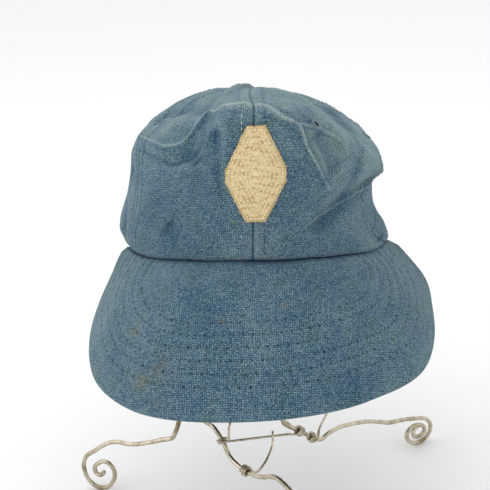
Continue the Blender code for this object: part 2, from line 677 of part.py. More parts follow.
def make_stand(material, collection, stand):
    routes = {name: leg_route(leg) for name, leg in LEGS.items()}
    for name, path in routes.items():
        make_wire(name, path, WIRE, 2, material, collection, stand)
    ties = {"brace": brace_path(routes)}
    ties["tie_low"] = low_tie_path(routes, ties["brace"])
    ties["tie_spare"] = spare_tie_path(routes)
    ties["tie_high"] = high_tie_path(routes)
    for name, path in ties.items():
        make_wire(name, path, TIE_WIRE, 1, material, collection, stand)


def main():
    clear_scene()
    collection = make_collection(COLLECTION_NAME)
    cloth = make_material("washed_blue_cloth", CLOTH_COLOR, 0.95, 0)
    felt = make_material("cream_felt", PATCH_COLOR, 0.95, 0)
    metal = make_material("nickel_wire", WIRE_COLOR, 0.35, 1)
    stand = add_object("stand_frame", None, collection, None)
    stand.location = (CAP_AT_X, CAP_AT_Y, 0)
    cap = add_object("cap_frame", None, collection, stand)
    cap.location = (0, 0, RIM_HEIGHT)
    make_panels(cloth, collection, cap)
    make_peak(cloth, collection, cap)
    make_patch(felt, collection, cap)
    make_button(cloth, collection, cap)
    make_eyelets(cloth, collection, cap)
    make_stand(metal, collection, stand)


main()
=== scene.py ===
"""A six-panel cloth cap on a bent wire hat stand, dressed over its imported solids.

Metres, +Z up. The cap faces -Y, and left and right are as seen from the front. The cap's own frame has
its origin in the middle of its rim, and stand places have their heights from the floor.
"""

import math

import bmesh
import bpy
import numpy as np
from bpy.props import FloatProperty, FloatVectorProperty, PointerProperty
from mathutils import Matrix


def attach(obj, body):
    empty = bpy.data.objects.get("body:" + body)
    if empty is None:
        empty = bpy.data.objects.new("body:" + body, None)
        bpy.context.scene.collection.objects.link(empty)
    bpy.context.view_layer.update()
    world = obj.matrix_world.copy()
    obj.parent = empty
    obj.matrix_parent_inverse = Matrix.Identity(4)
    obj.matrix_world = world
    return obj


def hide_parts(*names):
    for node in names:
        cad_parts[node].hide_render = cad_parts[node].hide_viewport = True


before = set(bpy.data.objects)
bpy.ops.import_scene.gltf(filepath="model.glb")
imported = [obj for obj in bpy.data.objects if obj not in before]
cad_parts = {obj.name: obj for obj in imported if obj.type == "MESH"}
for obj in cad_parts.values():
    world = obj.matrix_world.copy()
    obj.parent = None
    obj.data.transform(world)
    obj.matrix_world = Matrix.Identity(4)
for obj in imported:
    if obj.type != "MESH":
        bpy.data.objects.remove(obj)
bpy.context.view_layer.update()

bl_info = {
    "name": "Six-panel cap on a stand",
    "version": (1, 0, 0),
    "blender": (4, 5, 0),
    "location": "3D View > Sidebar > Cap",
    "description": "Builds a washed cloth cap and the wire stand that it rests on",
    "category": "Add Mesh",
}

CIRCLE = 2 * math.pi
MILLIMETRES = 1000

# ---------------------------------------------------------------------------------------------- sizes


def length(name, text, value):
    return FloatProperty(name=name, description=text, default=value, min=0, unit="LENGTH", precision=5)


def share(name, text, value):
    return FloatProperty(name=name, description=text, default=value)


def colour(name, text, value):
    return FloatVectorProperty(name=name, description=text, default=value, size=4, subtype="COLOR",
                               min=0, max=1)


class CapSizes(bpy.types.PropertyGroup):
    """Sizes of the crown and what is sewn on it"""

    head_width: length("Head width", "Across the rim", 0.158)
    head_length: length("Head length", "Along the rim", 0.194)
    crown_height: length("Crown height", "What a share of one stands for in the tables", 0.100)
    lean: share("Lean", "Sideways lean of the crown for each unit of height", 0.04)
    cloth: length("Cloth", "Thickness of the cloth", 0.0016)
    gap: length("Gap", "Between neighbouring panels", 0.0003)
    topstitch: length("Topstitch", "From a seam to the row of stitches beside it", 0.0060)
    hem: length("Hem", "From the rim to the hem's row of stitches", 0.0100)
    stitch: length("Stitch", "From one stitch to the next", 0.0031)
    thread: length("Thread", "Thickness of the sewing thread", 0.00042)
    weave: length("Weave", "From one thread of the cloth to the next", 0.00115)
    button: length("Button", "Diameter of the covered button", 0.015)
    button_height: length("Button height", "From the button's base to its top", 0.0036)
    eyelet: length("Eyelet", "Outer diameter of a worked eyelet", 0.0062)


class PeakSizes(bpy.types.PropertyGroup):
    """Sizes of the peak"""

    width: length("Width", "Twice the edge table's unit of width", 0.184)
    reach: length("Reach", "Forward of the rim", 0.058)
    hang: length("Hang", "Down from the rim's front to the front edge", 0.061)
    board: length("Board", "Thickness", 0.0032)
    gap: length("Gap", "Below the rim", 0.0006)
    first_row: length("First row", "From the free edge to the outermost row of stitches", 0.0150)
    row_step: length("Row step", "From one row of stitches to the next", 0.0066)
    hole_step: length("Hole step", "From one needle hole to the next", 0.0066)


class PatchSizes(bpy.types.PropertyGroup):
    """Sizes of the felt lozenge"""

    width: length("Width", "Across the middle", 0.031)
    height: length("Height", "From tip to tip", 0.048)
    tip: length("Tip", "Width of the blunt tips", 0.010)
    felt: length("Felt", "Thickness", 0.0014)
    row: length("Row", "Between rows of chain stitch", 0.0021)


class StandSizes(bpy.types.PropertyGroup):
    """Sizes of the stand"""

    rim_height: length("Rim height", "From the floor to the cap's rim", 0.165)
    wire: length("Wire", "Thickness of the legs", 0.0028)
    tie: length("Tie wire", "Thickness of the thin wire", 0.0014)
    hip: length("Hips", "Height at which the legs turn outwards", 0.060)


class Finishes(bpy.types.PropertyGroup):
    """Colours"""

    # Deep blue also serves as painted shade in hollows, in the darkest areas of the crown and in the join
    # between crown and peak. Faded and pale blue also serve as painted light on the top of the crown and as
    # painted highlights on folded edges.
    deep: colour("Deep blue", "Unworn cloth in seams and hollows", (0.013, 0.054, 0.106, 1))
    washed: colour("Washed blue", "Most of the cloth", (0.068, 0.142, 0.200, 1))
    faded: colour("Faded blue", "Cloth on ridges and at the top", (0.196, 0.270, 0.285, 1))
    pale: colour("Pale blue", "Lightest threads and worn edges", (0.360, 0.440, 0.440, 1))
    indigo: colour("Indigo", "Tint of the less washed parts", (0.085, 0.110, 0.260, 1))
    moss: colour("Moss", "Tint of the yellowed parts", (0.230, 0.270, 0.150, 1))
    stain: colour("Stain", "Old brown spots", (0.200, 0.150, 0.045, 1))
    felt: colour("Felt", "Cream felt", (0.800, 0.670, 0.395, 1))
    # Felt edge also serves as the painted shade between the lozenge's rows of stitches.
    felt_edge: colour("Felt edge", "Aged edge of the felt", (0.420, 0.270, 0.090, 1))
    # The nickel is darkened, and the tarnish spread, partly as painted dark reflection of the wire's
    # surroundings.
    nickel: colour("Nickel", "Bright wire", (0.640, 0.575, 0.455, 1))
    tarnish: colour("Tarnish", "Dull wire", (0.210, 0.160, 0.090, 1))
    paper: colour("Floor", "Pale floor", (0.900, 0.900, 0.900, 1))


def cap():
    return bpy.context.scene.cap_sizes


def peak():
    return bpy.context.scene.peak_sizes


def patch():
    return bpy.context.scene.patch_sizes


def stand():
    return bpy.context.scene.stand_sizes


def finish():
    return bpy.context.scene.cap_finishes


# --------------------------------------------------------------------------------------------- tables


def table(columns, *rows):
    """The rows as dictionaries whose keys are the columns' names. Some names only help the reader."""
    return [dict(zip(columns.split(), row)) for row in rows]


STAND_PLACE = np.array([0.0029, 0.0307, 0.0])
SHOULDER_SHARE = 0.56
TIP_SHARE = 0.972
APEX_SIDE, APEX_BACK, APEX_UP = 0.02, 0.06, 0.78

# Sections of the crown, by bearing in degrees from the front towards the right. Rim, shoulder and top are
# shares of the crown's height. Hem, waist, belly and edge are shares of the rim's half width and length, at
# even steps up the wall. Bend is a share up the panel.
SECTIONS = table(
    "bearing rim hem waist belly edge shoulder top bend",
    (0, 0.155, 1.000, 1.00, 0.97, 0.90, 0.938, 0.930, 0.035),
    (10, 0.150, 1.000, 1.00, 0.97, 0.90, 0.943, 0.930, 0.035),
    (20, 0.140, 1.000, 1.00, 0.97, 0.90, 0.915, 0.92, 0.035),
    (30, 0.120, 1.000, 0.99, 0.97, 0.91, 0.860, 0.89, 0.045),
    (40, 0.095, 1.000, 0.97, 0.96, 0.91, 0.755, 0.84, 0.060),
    (54, 0.050, 1.000, 0.90, 0.93, 0.92, 0.620, 0.755, 0.090),
    (74, 0.015, 0.985, 0.82, 0.89, 0.90, 0.515, 0.675, 0.120),
    (96, 0.000, 0.940, 0.85, 0.89, 0.90, 0.495, 0.665, 0.130),
    (125, 0.000, 0.945, 0.93, 0.93, 0.90, 0.500, 0.712, 0.140),
    (155, 0.010, 0.980, 0.97, 0.95, 0.90, 0.535, 0.72, 0.150),
    (180, 0.020, 1.000, 0.97, 0.95, 0.90, 0.550, 0.73, 0.150),
    (205, 0.010, 1.000, 0.97, 0.95, 0.90, 0.560, 0.74, 0.150),
    (235, 0.000, 1.000, 0.98, 0.96, 0.91, 0.570, 0.76, 0.130),
    (264, -0.010, 1.000, 1.00, 0.95, 0.92, 0.572, 0.80, 0.090),
    (286, 0.010, 1.000, 0.99, 0.95, 0.92, 0.625, 0.85, 0.060),
    (304, 0.050, 1.000, 1.00, 0.96, 0.92, 0.660, 0.86, 0.050),
    (318, 0.085, 1.000, 0.99, 0.96, 0.92, 0.650, 0.88, 0.050),
    (328, 0.115, 1.000, 0.99, 0.96, 0.93, 0.630, 0.89, 0.045),
    (336, 0.135, 1.000, 1.00, 0.96, 0.92, 0.710, 0.937, 0.045),
    (344, 0.145, 1.000, 1.00, 0.97, 0.90, 0.880, 0.925, 0.040),
    (352, 0.155, 1.000, 1.00, 0.97, 0.90, 0.934, 0.928, 0.035),
)

# Folds in the cloth: spread and lift are shares of the crown's height. The line has bearings and shares
# up the panel.
FOLDS = table(
    "name sharp spread lift line",
    ("front crease", True, 0.06, 0.026, ((8, 0.555), (15, 0.53), (20, 0.49), (26, 0.40), (30, 0.30))),
    ("hollow beside the crease", False, 0.08, -0.040, ((24, 0.50), (28, 0.45), (31, 0.40), (35, 0.34))),
    ("right shoulder", False, 0.06, 0.024, ((21, 0.51), (26, 0.51), (31, 0.50), (41, 0.46))),
    ("right pillow", False, 0.18, 0.040, ((46, 0.46), (58, 0.455), (72, 0.46))),
    ("right valley", False, 0.07, -0.060,
     ((104, 0.325), (80, 0.36), (58, 0.365), (44, 0.28), (31, 0.16), (20, 0.09))),
    ("valley beside the patch", False, 0.05, -0.020, ((-17, 0.55), (-14, 0.40), (-12, 0.22))),
    ("edge beside the patch", True, 0.04, 0.012, ((-12, 0.54), (-11, 0.38), (-10, 0.26))),
    ("left notch", False, 0.06, -0.028, ((-34, 0.60), (-29, 0.57), (-25, 0.53), (-23, 0.46))),
    ("left top ridge", False, 0.06, 0.026, ((-48, 0.58), (-45, 0.64), (-36, 0.66), (-24, 0.64))),
    ("left top channel", False, 0.05, -0.024, ((-68, 0.60), (-66, 0.66), (-50, 0.70), (-30, 0.69))),
    ("left dimple", False, 0.09, -0.015, ((-38, 0.20), (-30, 0.10))),
    ("left kink", False, 0.06, -0.020, ((-80, 0.40), (-66, 0.36))),
    ("left low bulge", False, 0.12, 0.026, ((-90, 0.10), (-72, 0.10))),
)
FOLD_SHARPNESS = 1.6
FOLD_FADE = 0.18
FOLD_END = 0.15
HEM_SHARE = 0.06

# Creases finer than the folds, in metres. Pale is how much paler the crease is drawn, partly wear and partly
# painted highlight, and less than nothing is painted shade.
CREASES = table(
    "name spread lift pale line",
    ("under the left edge", 0.0040, -0.0018, -0.7,
     ((-66, 0.52), (-51, 0.52), (-38, 0.53), (-32, 0.56), (-25, 0.57), (-20, 0.56))),
    ("line beside the patch", 0.0034, -0.0007, -0.6, ((-15, 0.56), (-17, 0.51), (-16, 0.41), (-14, 0.29))),
    ("left wrinkle", 0.0045, 0.0009, 0.3, ((-35, 0.56), (-22, 0.47), (-17, 0.36))),
    ("left low wrinkle", 0.0045, -0.0003, -0.3, ((-47, 0.23), (-38, 0.22), (-31, 0.18))),
    ("left edge", 0.0035, 0.0007, 0.6, ((-78, 0.53), (-80, 0.42), (-79, 0.35))),
)

# Folded edges of the cloth, which are drawn sharp: a pale line, partly wear and partly painted highlight,
# with a painted shadow on its lower side.
# The line has bearings, shares up the panel, how pale it is and how dark the shadow is.
EDGES = table(
    "name spread lift shadow line",
    ("arch", 0.0030, 0.0024, 4.0,
     ((-80, 0.56, 0.3, 0.3), (-73, 0.57, 0.5, 0.6), (-56, 0.57, 0.6, 0.8), (-49, 0.57, 0.6, 0.9),
      (-44, 0.57, 0.6, 0.9), (-40, 0.58, 0.6, 0.8), (-36, 0.60, 0.7, 0.8), (-32, 0.62, 0.8, 1.0),
      (-28, 0.635, 0.9, 1.2), (-26, 0.65, 0.9, 1.2), (-24, 0.66, 0.9, 0.7), (-17, 0.605, 1.3, -0.3),
      (-10, 0.58, 1.4, -0.8), (0, 0.57, 1.4, -0.8), (5, 0.56, 1.4, -0.6), (11, 0.52, 1.3, -0.2),
      (17, 0.50, 1.0, 0.2), (21, 0.42, 0.9, 0.4), (26, 0.34, 0.8, 0.5), (30, 0.27, 0.4, 0.3))),
    ("branch", 0.0026, 0.0010, 3.0,
     ((17, 0.50, 0.9, 0.6), (23, 0.50, 0.7, 0.8), (27, 0.50, 0.5, 0.7), (34, 0.49, 0.4, 0.5),
      (40, 0.46, 0.1, 0.2))),
    ("lip", 0.0030, 0.0018, 2.4,
     ((80, 0.425, 0.2, 0.4), (66, 0.375, 0.5, 0.9), (62, 0.345, 0.5, 1.1), (49, 0.295, 0.4, 1.1),
      (36, 0.205, 0.4, 1.3), (26, 0.16, 0.5, 1.7), (19, 0.11, 0.2, 1.0))),
)
EDGE_REACH = 8.0

ARCH, _, LIP = (edge["line"] for edge in EDGES)
# Where the paler top of the crown begins, partly faded and partly painted light, as bearings and shares:
# along the arch, the lip and round the back.
TOP_EDGE = np.array([
    (-180, 0.56), (-90, 0.56), *(row[:2] for row in ARCH if row[0] > -80),
    *(row[:2] for row in reversed(LIP) if row[0] > 30), (104, 0.42), (130, 0.50), (180, 0.56),
])

# Bearings of the seams at four shares up the panel.
SEAM_HEIGHTS = (0, 0.28, SHOULDER_SHARE, 0.80)
SEAMS = {
    "front": (0, 0, 0, -8),
    "right_front": (68, 54, 72, 72),
    "right_back": (116, 116, 118, 118),
    "back": (180, 180, 180, 180),
    "left_back": (244, 244, 242, 242),
    "left_front": (299, 302, 297, 296),
    "front_again": (360, 360, 360, 352),
}
# Seams that show less than the others, and by how much.
FAINT_SEAMS = {"left_front": 0.35, "left_back": 0.6}
PANELS = {
    "panel_front_right": ("front", "right_front"),
    "panel_side_right": ("right_front", "right_back"),
    "panel_back_right": ("right_back", "back"),
    "panel_back_left": ("back", "left_back"),
    "panel_side_left": ("left_back", "left_front"),
    "panel_front_left": ("left_front", "front_again"),
}
# Bearing and share up the panel.
EYELETS = {
    "eyelet_front_right": (24, 0.51),
    "eyelet_side_right": (95, 0.60),
    "eyelet_back_right": (148, 0.60),
    "eyelet_back_left": (212, 0.60),
    "eyelet_side_left": (270, 0.62),
}

# The peak's free edge, from its left end at -1 to its right end at 1, as shares of the peak's sizes.
PEAK_EDGE = table(
    "place out forward drop bow",
    (-1.00, -0.835, 0.00, 0.00, 0.00),
    (-0.92, -0.93, 0.10, 0.35, 0.02),
    (-0.80, -1.00, 0.27, 0.66, 0.04),
    (-0.62, -0.96, 0.56, 0.89, 0.06),
    (-0.36, -0.69, 0.86, 0.99, 0.08),
    (0.00, -0.03, 1.00, 0.965, 0.08),
    (0.36, 0.64, 0.853, 0.943, 0.08),
    (0.62, 0.985, 0.578, 0.87, 0.06),
    (0.80, 1.05, 0.28, 0.61, 0.04),
    (0.92, 1.00, 0.10, 0.32, 0.02),
    (1.00, 0.84, 0.00, 0.00, 0.00),
)
PEAK_TURN = 73
PEAK_BULGE = 1.0
PEAK_CUT = 0.985
TUCK_IN, TUCK_UP = 0.0022, 0.0030

PATCH_TURN = 1.0
PATCH_SHARE = 0.325
PATCH_SLOPE = 0.86

# A scroll's width and height, how far it tips in degrees, the size of its inner turn and its turns.
SCROLL_COLUMNS = ("width", "height", "tip", "inner", "turns")
LEGS = {
    "leg_left": {
        "hip": (-0.050, -0.040), "foot": (-0.1054, -0.0227), "scroll": (0.0215, 0.026, 0, 0.30, 1.55),
        "line": ((0.00, 0.97), (0.05, 0.87), (0.07, 0.78), (0.25, 0.70), (0.42, 0.64), (0.60, 0.60),
                 (0.79, 0.60), (0.90, 0.555), (1.00, 0.48)),
        "arm": 272, "rise": ((-0.044, -0.037, 0.086), (-0.038, -0.028, 0.160)),
    },
    "leg_right": {
        "hip": (0.012, -0.052), "foot": (0.0988, 0.029), "scroll": (0.0235, 0.0165, -11, 0.48, 1.85),
        "line": ((0.00, 1.04), (0.08, 0.90), (0.16, 0.77), (0.25, 0.65), (0.32, 0.68), (0.40, 0.68),
                 (0.48, 0.65), (0.58, 0.60), (0.67, 0.53), (0.76, 0.45), (0.85, 0.41), (0.94, 0.36)),
        "arm": 92, "rise": ((0.016, -0.044, 0.085), (0.026, -0.030, 0.160)),
    },
    "leg_front": {
        "hip": (-0.037, -0.046), "foot": (0.056, -0.148), "scroll": (0.024, 0.027, 0, 0.32, 1.60),
        "line": ((0.00, 1.04), (0.09, 1.02), (0.15, 0.92), (0.19, 0.80), (0.28, 0.74), (0.38, 0.76),
                 (0.49, 0.86), (0.60, 0.79), (0.74, 0.66)),
        "arm": 195, "rise": ((-0.0402, -0.037, 0.086), (-0.012, -0.020, 0.160)),
    },
}
SCROLL_START, SCROLL_STEP, TIGHTEN_FROM, TIGHTEN_TO = 36, 15, 80, 200
ARM_FROM, ARM_TO, ARM_CLEARANCE = 0.86, 0.68, 0.0007
RISE_STEP, LEG_STEP = 0.012, 0.0062

BRACE_LEFT = (-0.024, -0.061, 0.057)
BRACE_RIGHT = (0.021, -0.044, 0.052)
LOW_TIE = (-0.010, -0.073, 0.045)
HIGH_TIE = (-0.042, -0.037, 0.086)
SPARE_TIE = (0.027, -0.038, 0.045)
TURN_POINTS = 8
LEFT_TURNS, RIGHT_TURNS = 1.5, 2.5
LOW_TURNS, SPARE_TURNS, HIGH_TURNS = 2.5, 2, 3
LOW_CROSSING, HIGH_SLACK = 0.66, 1.15
# The thin wire back from the right coil to the left one: one place beside the right, three beside the left.
BRACE_RETURN = (
    (-0.0096, 0.0, 0.0077), (0.0062, -0.001, 0.0142), (0.0052, -0.003, 0.0120), (0.0042, -0.004, 0.0020),
)
SPARE_END = ((0.005, -0.005, 0.009), (0.011, -0.005, 0.022))

# Old spots on the cloth, in the cap's own frame: place, radius and strength.
SPOTS = (
    ((-0.061, -0.111, -0.016), 0.0030, 0.50),
    ((-0.056, -0.134, -0.034), 0.0055, 0.40),
    ((-0.046, -0.134, -0.027), 0.0060, 0.28),
    ((-0.047, -0.144, -0.041), 0.0050, 0.15),
    ((-0.085, -0.107, -0.042), 0.0040, 0.25),
    ((-0.014, -0.125, -0.006), 0.0016, 0.50),
    ((0.017, -0.118, -0.001), 0.0020, 0.40),
    ((0.050, -0.082, 0.066), 0.0040, 0.45),
)
# Darker patches of dye, in the same way.
DARK_PATCHES = (
    ((-0.046, -0.082, 0.026), 0.008, 0.9),
    ((-0.044, -0.083, 0.048), 0.006, 0.5),
    ((0.052, -0.138, -0.039), 0.005, 0.8),
)

# Soft areas of the crown painted paler or darker than their folds make them, as painted light and painted
# shade: a name that nothing looks up, the place as bearing and share, radius and strength. Below minus one
# they also get painted shade towards deep blue.
LIT_AND_SHADED_AREAS = (
    ("notch", (-22, 0.57), 0.0060, -1.0),
    ("below the notch", (-24, 0.49), 0.0065, -0.9),
    ("wall beside the patch", (-16, 0.42), 0.0060, 0.7),
    ("left flank of the top", (-38, 0.60), 0.0065, 0.8),
    ("left edge", (-62, 0.37), 0.0080, -0.8),
    ("under the arch", (-2, 0.545), 0.0060, 0.9),
    ("under the arch on the right", (10, 0.50), 0.0070, 0.8),
    ("by the branch", (15, 0.45), 0.0080, 0.8),
    ("facet", (29, 0.45), 0.0085, 1.4),
    ("pillow", (36, 0.41), 0.0080, 0.8),
    ("end of the pillow", (50, 0.42), 0.0080, 0.9),
    ("edge beside the patch", (-13, 0.29), 0.0055, 0.8),
    ("low front", (0, 0.07), 0.0160, 0.8),
    ("low left front", (-34, 0.14), 0.0120, -0.4),
    ("right contour", (58, 0.585), 0.0035, -1.5),
    ("right contour", (63, 0.62), 0.0042, -2.2),
    ("right contour", (72, 0.66), 0.0048, -2.4),
    ("right contour", (82, 0.685), 0.0050, -2.4),
    ("right contour", (92, 0.705), 0.0052, -2.4),
    ("right contour", (104, 0.73), 0.0052, -2.2),
)

# ------------------------------------------------------------------------------------ crown surfaces

WAVE_COUNT = 20


def cubic_through(stations, values, x):
    """Cubic Hermite curve through the values, whose slope at each is the gradient of its neighbours."""
    slopes = np.gradient(values, stations)
    i = np.clip(np.searchsorted(stations, x, side="right") - 1, 0, len(stations) - 2)
    h = stations[i + 1] - stations[i]
    s = (x - stations[i]) / h
    start = (2 * s**3 - 3 * s**2 + 1) * values[i] + (s**3 - 2 * s**2 + s) * h * slopes[i]
    end = (3 * s**2 - 2 * s**3) * values[i + 1] + (s**3 - s**2) * h * slopes[i + 1]
    return start + end


def column(rows, name):
    return np.array([row[name] for row in rows], float)


def section(name, turn):
    """A column of the section table at any bearing in radians, closed round the head."""
    bearings = np.radians(column(SECTIONS, "bearing"))
    stations = np.concatenate([bearings - CIRCLE, bearings, bearings + CIRCLE])
    return cubic_through(stations, np.tile(column(SECTIONS, name), 3), np.mod(turn, CIRCLE))


def from_shares(turn, out, up):
    """x is half the width times out times sin, leant by the height, y is minus half the length times out
    times cos, and z is the height."""
    height = cap().crown_height * up
    x = cap().head_width / 2 * out * np.sin(turn) + cap().lean * height
    y = -cap().head_length / 2 * out * np.cos(turn)
    return np.stack([x, y, height], -1)


def wall_point(turn, s):
    """Lagrange cubic in s through the hem, the waist, the belly and the edge, which lie at even steps of
    s, so that its factors are 9/2 and 27/2; its height is linear in s."""
    hem_part = -4.5 * (s - 1 / 3) * (s - 2 / 3) * (s - 1)
    waist_part = 13.5 * s * (s - 2 / 3) * (s - 1)
    belly_part = -13.5 * s * (s - 1 / 3) * (s - 1)
    edge_part = 4.5 * s * (s - 1 / 3) * (s - 2 / 3)
    out = hem_part * section("hem", turn) + waist_part * section("waist", turn)
    out = out + belly_part * section("belly", turn) + edge_part * section("edge", turn)
    up = section("rim", turn) * (1 - s) + section("shoulder", turn) * s
    return from_shares(turn, out, up)


def top_point(turn, s):
    """Parabola in s through the shoulder, the top's middle and the apex, drawn in to the apex."""
    up = section("shoulder", turn) * (2 * s - 1) * (s - 1) + section("top", turn) * 4 * s * (1 - s)
    up = up + APEX_UP * s * (2 * s - 1)
    point = from_shares(turn, section("edge", turn) * (1 - s), up)
    shift = np.array([cap().head_width / 2 * APEX_SIDE, cap().head_length / 2 * APEX_BACK, 0])
    return point + shift * s[..., None]


def plain_crown(turn, s):
    """Wall below the shoulder and top above it, joined by a quadratic Bezier as wide as the bend."""
    bend = section("bend", turn)
    wall = wall_point(turn, np.clip(s / SHOULDER_SHARE, 0, 1))
    top = top_point(turn, np.clip((s - SHOULDER_SHARE) / (1 - SHOULDER_SHARE), 0, 1))
    before = wall_point(turn, (SHOULDER_SHARE - bend) / SHOULDER_SHARE)
    corner = wall_point(turn, np.ones_like(s))
    after = top_point(turn, bend / (1 - SHOULDER_SHARE))
    q = np.clip((s - SHOULDER_SHARE + bend) / (2 * bend), 0, 1)[..., None]
    rounded = before * (1 - q) ** 2 + 2 * corner * q * (1 - q) + after * q**2
    point = np.where((s < SHOULDER_SHARE)[..., None], wall, top)
    return np.where((np.abs(s - SHOULDER_SHARE) < bend)[..., None], rounded, point)


def unit(vector):
    """The vector over its length."""
    return vector / np.maximum(np.linalg.norm(vector, axis=-1, keepdims=True), 1e-12)


def outward(surface, turn, s):
    """Unit normal: the cross product of central differences along the bearing and up the panel."""
    step = 1e-3
    across = surface(turn + step, s) - surface(turn - step, s)
    up = surface(turn, np.minimum(s + step, 1 - step)) - surface(turn, np.maximum(s - step, 0))
    return unit(np.cross(across, up))


def fold_line(line, count=24):
    """Points along a fold on the plain crown, linear between the table's bearings and shares."""
    k = np.linspace(0, len(line) - 1, count)
    rows = np.arange(len(line))
    turn = np.radians(np.interp(k, rows, [p[0] for p in line]))
    return plain_crown(turn, np.interp(k, rows, [p[1] for p in line]))


def nearest_on_line(line, point):
    """Distance from each point to a polyline, and the share of the polyline where it is nearest."""
    distance = np.full(point.shape[:-1], np.inf)
    along = np.zeros(point.shape[:-1])
    count = len(line) - 1
    for i in range(count):
        run = line[i + 1] - line[i]
        s = np.clip((point - line[i]) @ run / max(run @ run, 1e-18), 0, 1)
        away = np.linalg.norm(point - line[i] - s[..., None] * run, axis=-1)
        nearer = away < distance
        distance = np.where(nearer, away, distance)
        along = np.where(nearer, (i + s) / count, along)
    return distance, along


def fade_at_ends(along):
    """From 0 at both ends of a fold's line to 1 inside it."""
    return np.clip(np.minimum(along, 1 - along) / FOLD_FADE, 0, 1)


def crease_shape(crease, point, spread):
    """An exponential of the distance from a crease, faded at the crease's ends."""
    distance, along = nearest_on_line(fold_line(crease["line"], 40), point)
    return np.exp(-FOLD_SHARPNESS * distance / spread) * fade_at_ends(along)


def fold_lift(point):
    """Sum over the folds of lift times an exponential or a bell of the distance, faded at their ends."""
    height = cap().crown_height
    lift = np.zeros(point.shape[:-1])
    for fold in FOLDS:
        distance, along = nearest_on_line(fold_line(fold["line"]), point)
        u = distance / (fold["spread"] * height)
        shape = np.exp(-FOLD_SHARPNESS * u) if fold["sharp"] else np.exp(-u * u)
        fade = fade_at_ends(along)
        fade = FOLD_END + (1 - FOLD_END) * fade * fade * (3 - 2 * fade)
        lift = lift + fold["lift"] * height * shape * fade
    for crease in CREASES + EDGES:
        lift = lift + crease["lift"] * crease_shape(crease, point, crease["spread"])
    return lift


def crown(turn, s):
    """The plain crown moved along its normals by the folds, which fade out in the hem."""
    point = plain_crown(turn, s)
    lift = fold_lift(point) * np.clip(s / HEM_SHARE, 0, 1)
    return point + outward(plain_crown, turn, s) * lift[..., None]


def waves(point, size, seed):
    """Smooth noise from about -1 to 1: a sum of sines of random direction, each about one size long."""
    rng = np.random.default_rng(seed)
    direction = unit(rng.normal(size=(WAVE_COUNT, 3)))
    rate = CIRCLE / (size * rng.uniform(0.7, 1.5, WAVE_COUNT))
    phase = rng.uniform(0, CIRCLE, WAVE_COUNT)
    total = np.sin((point @ (direction * rate[:, None]).T) + phase).sum(-1)
    return total * math.sqrt(2 / WAVE_COUNT) * 0.6


def around_circle(count):
    """Even angles in radians, without the last that equals the first."""
    return np.linspace(0, CIRCLE, count, endpoint=False)


def bell(x, width):
    """e to the power of minus the square of x over the width."""
    return np.exp(-((x / width) ** 2))


def step_down(x, edge, width):
    """One below the edge, none above it, with a logistic slope between."""
    return 1 / (1 + np.exp(np.clip((x - edge) / width, -40, 40)))


def arc(points, axis):
    """Length along a grid's axis, from its first row."""
    steps = np.linalg.norm(np.diff(points, axis=axis), axis=-1)
    start = np.zeros_like(np.take(steps, [0], axis=axis))
    return np.concatenate([start, np.cumsum(steps, axis=axis)], axis=axis)


def points_at(x, stations, points):
    """Points at the distances x along a line, linear between its own points at the stations."""
    return np.stack([np.interp(x, stations, points[:, k]) for k in range(points.shape[-1])], -1)


# ---------------------------------------------------------------------------------------- mesh making

THREAD_RINGS, THREAD_SIDES, THREAD_TIP = 5, 6, 0.35
DOME = np.array([0.999, 0.92, 0.71, 0.38])


def link(name, data):
    """A new object at the origin with the data, linked to the scene."""
    obj = bpy.data.objects.new(name, data)
    bpy.context.scene.collection.objects.link(obj)
    return obj


def piece(name, points, faces, material, uv=None, layers=None, replaces=()):
    """An object at the origin whose mesh has the points, UV maps in metres and named layers of values."""
    mesh = bpy.data.meshes.new(name)
    mesh.from_pydata(points.reshape(-1, 3).tolist(), [], faces)
    for map_name, values in (uv or {}).items():
        layer = mesh.uv_layers.new(name=map_name)
        corner = np.empty(len(mesh.loops), np.int32)
        mesh.loops.foreach_get("vertex_index", corner)
        layer.data.foreach_set("uv", values.reshape(-1, 2)[corner].astype(np.float32).ravel())
    for layer_name, values in (layers or {}).items():
        layer = mesh.attributes.new(layer_name, "FLOAT", "POINT")
        layer.data.foreach_set("value", values.ravel().astype(np.float32))
    mesh.shade_smooth()
    mesh.materials.append(material)
    obj = link(name, mesh)
    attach(obj, "root")
    if replaces:
        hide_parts(*replaces)
    return obj


def grid_faces(columns, rows, wrap=False, start=0, flip=False):
    """Quads of a grid whose points run row by row within each column."""
    index = np.arange(columns * rows).reshape(columns, rows) + start
    if wrap:
        index = np.concatenate([index, index[:, :1]], axis=1)
    corners = [index[:-1, :-1], index[1:, :-1], index[1:, 1:], index[:-1, 1:]]
    if flip:
        corners.reverse()
    return np.stack(corners, -1).reshape(-1, 4).tolist()


def close_up(obj, distance=1e-6):
    """Merges doubled points and turns the faces outwards."""
    build = bmesh.new()
    build.from_mesh(obj.data)
    bmesh.ops.remove_doubles(build, verts=build.verts[:], dist=distance)
    bmesh.ops.recalc_face_normals(build, faces=build.faces[:])
    build.to_mesh(obj.data)
    build.free()


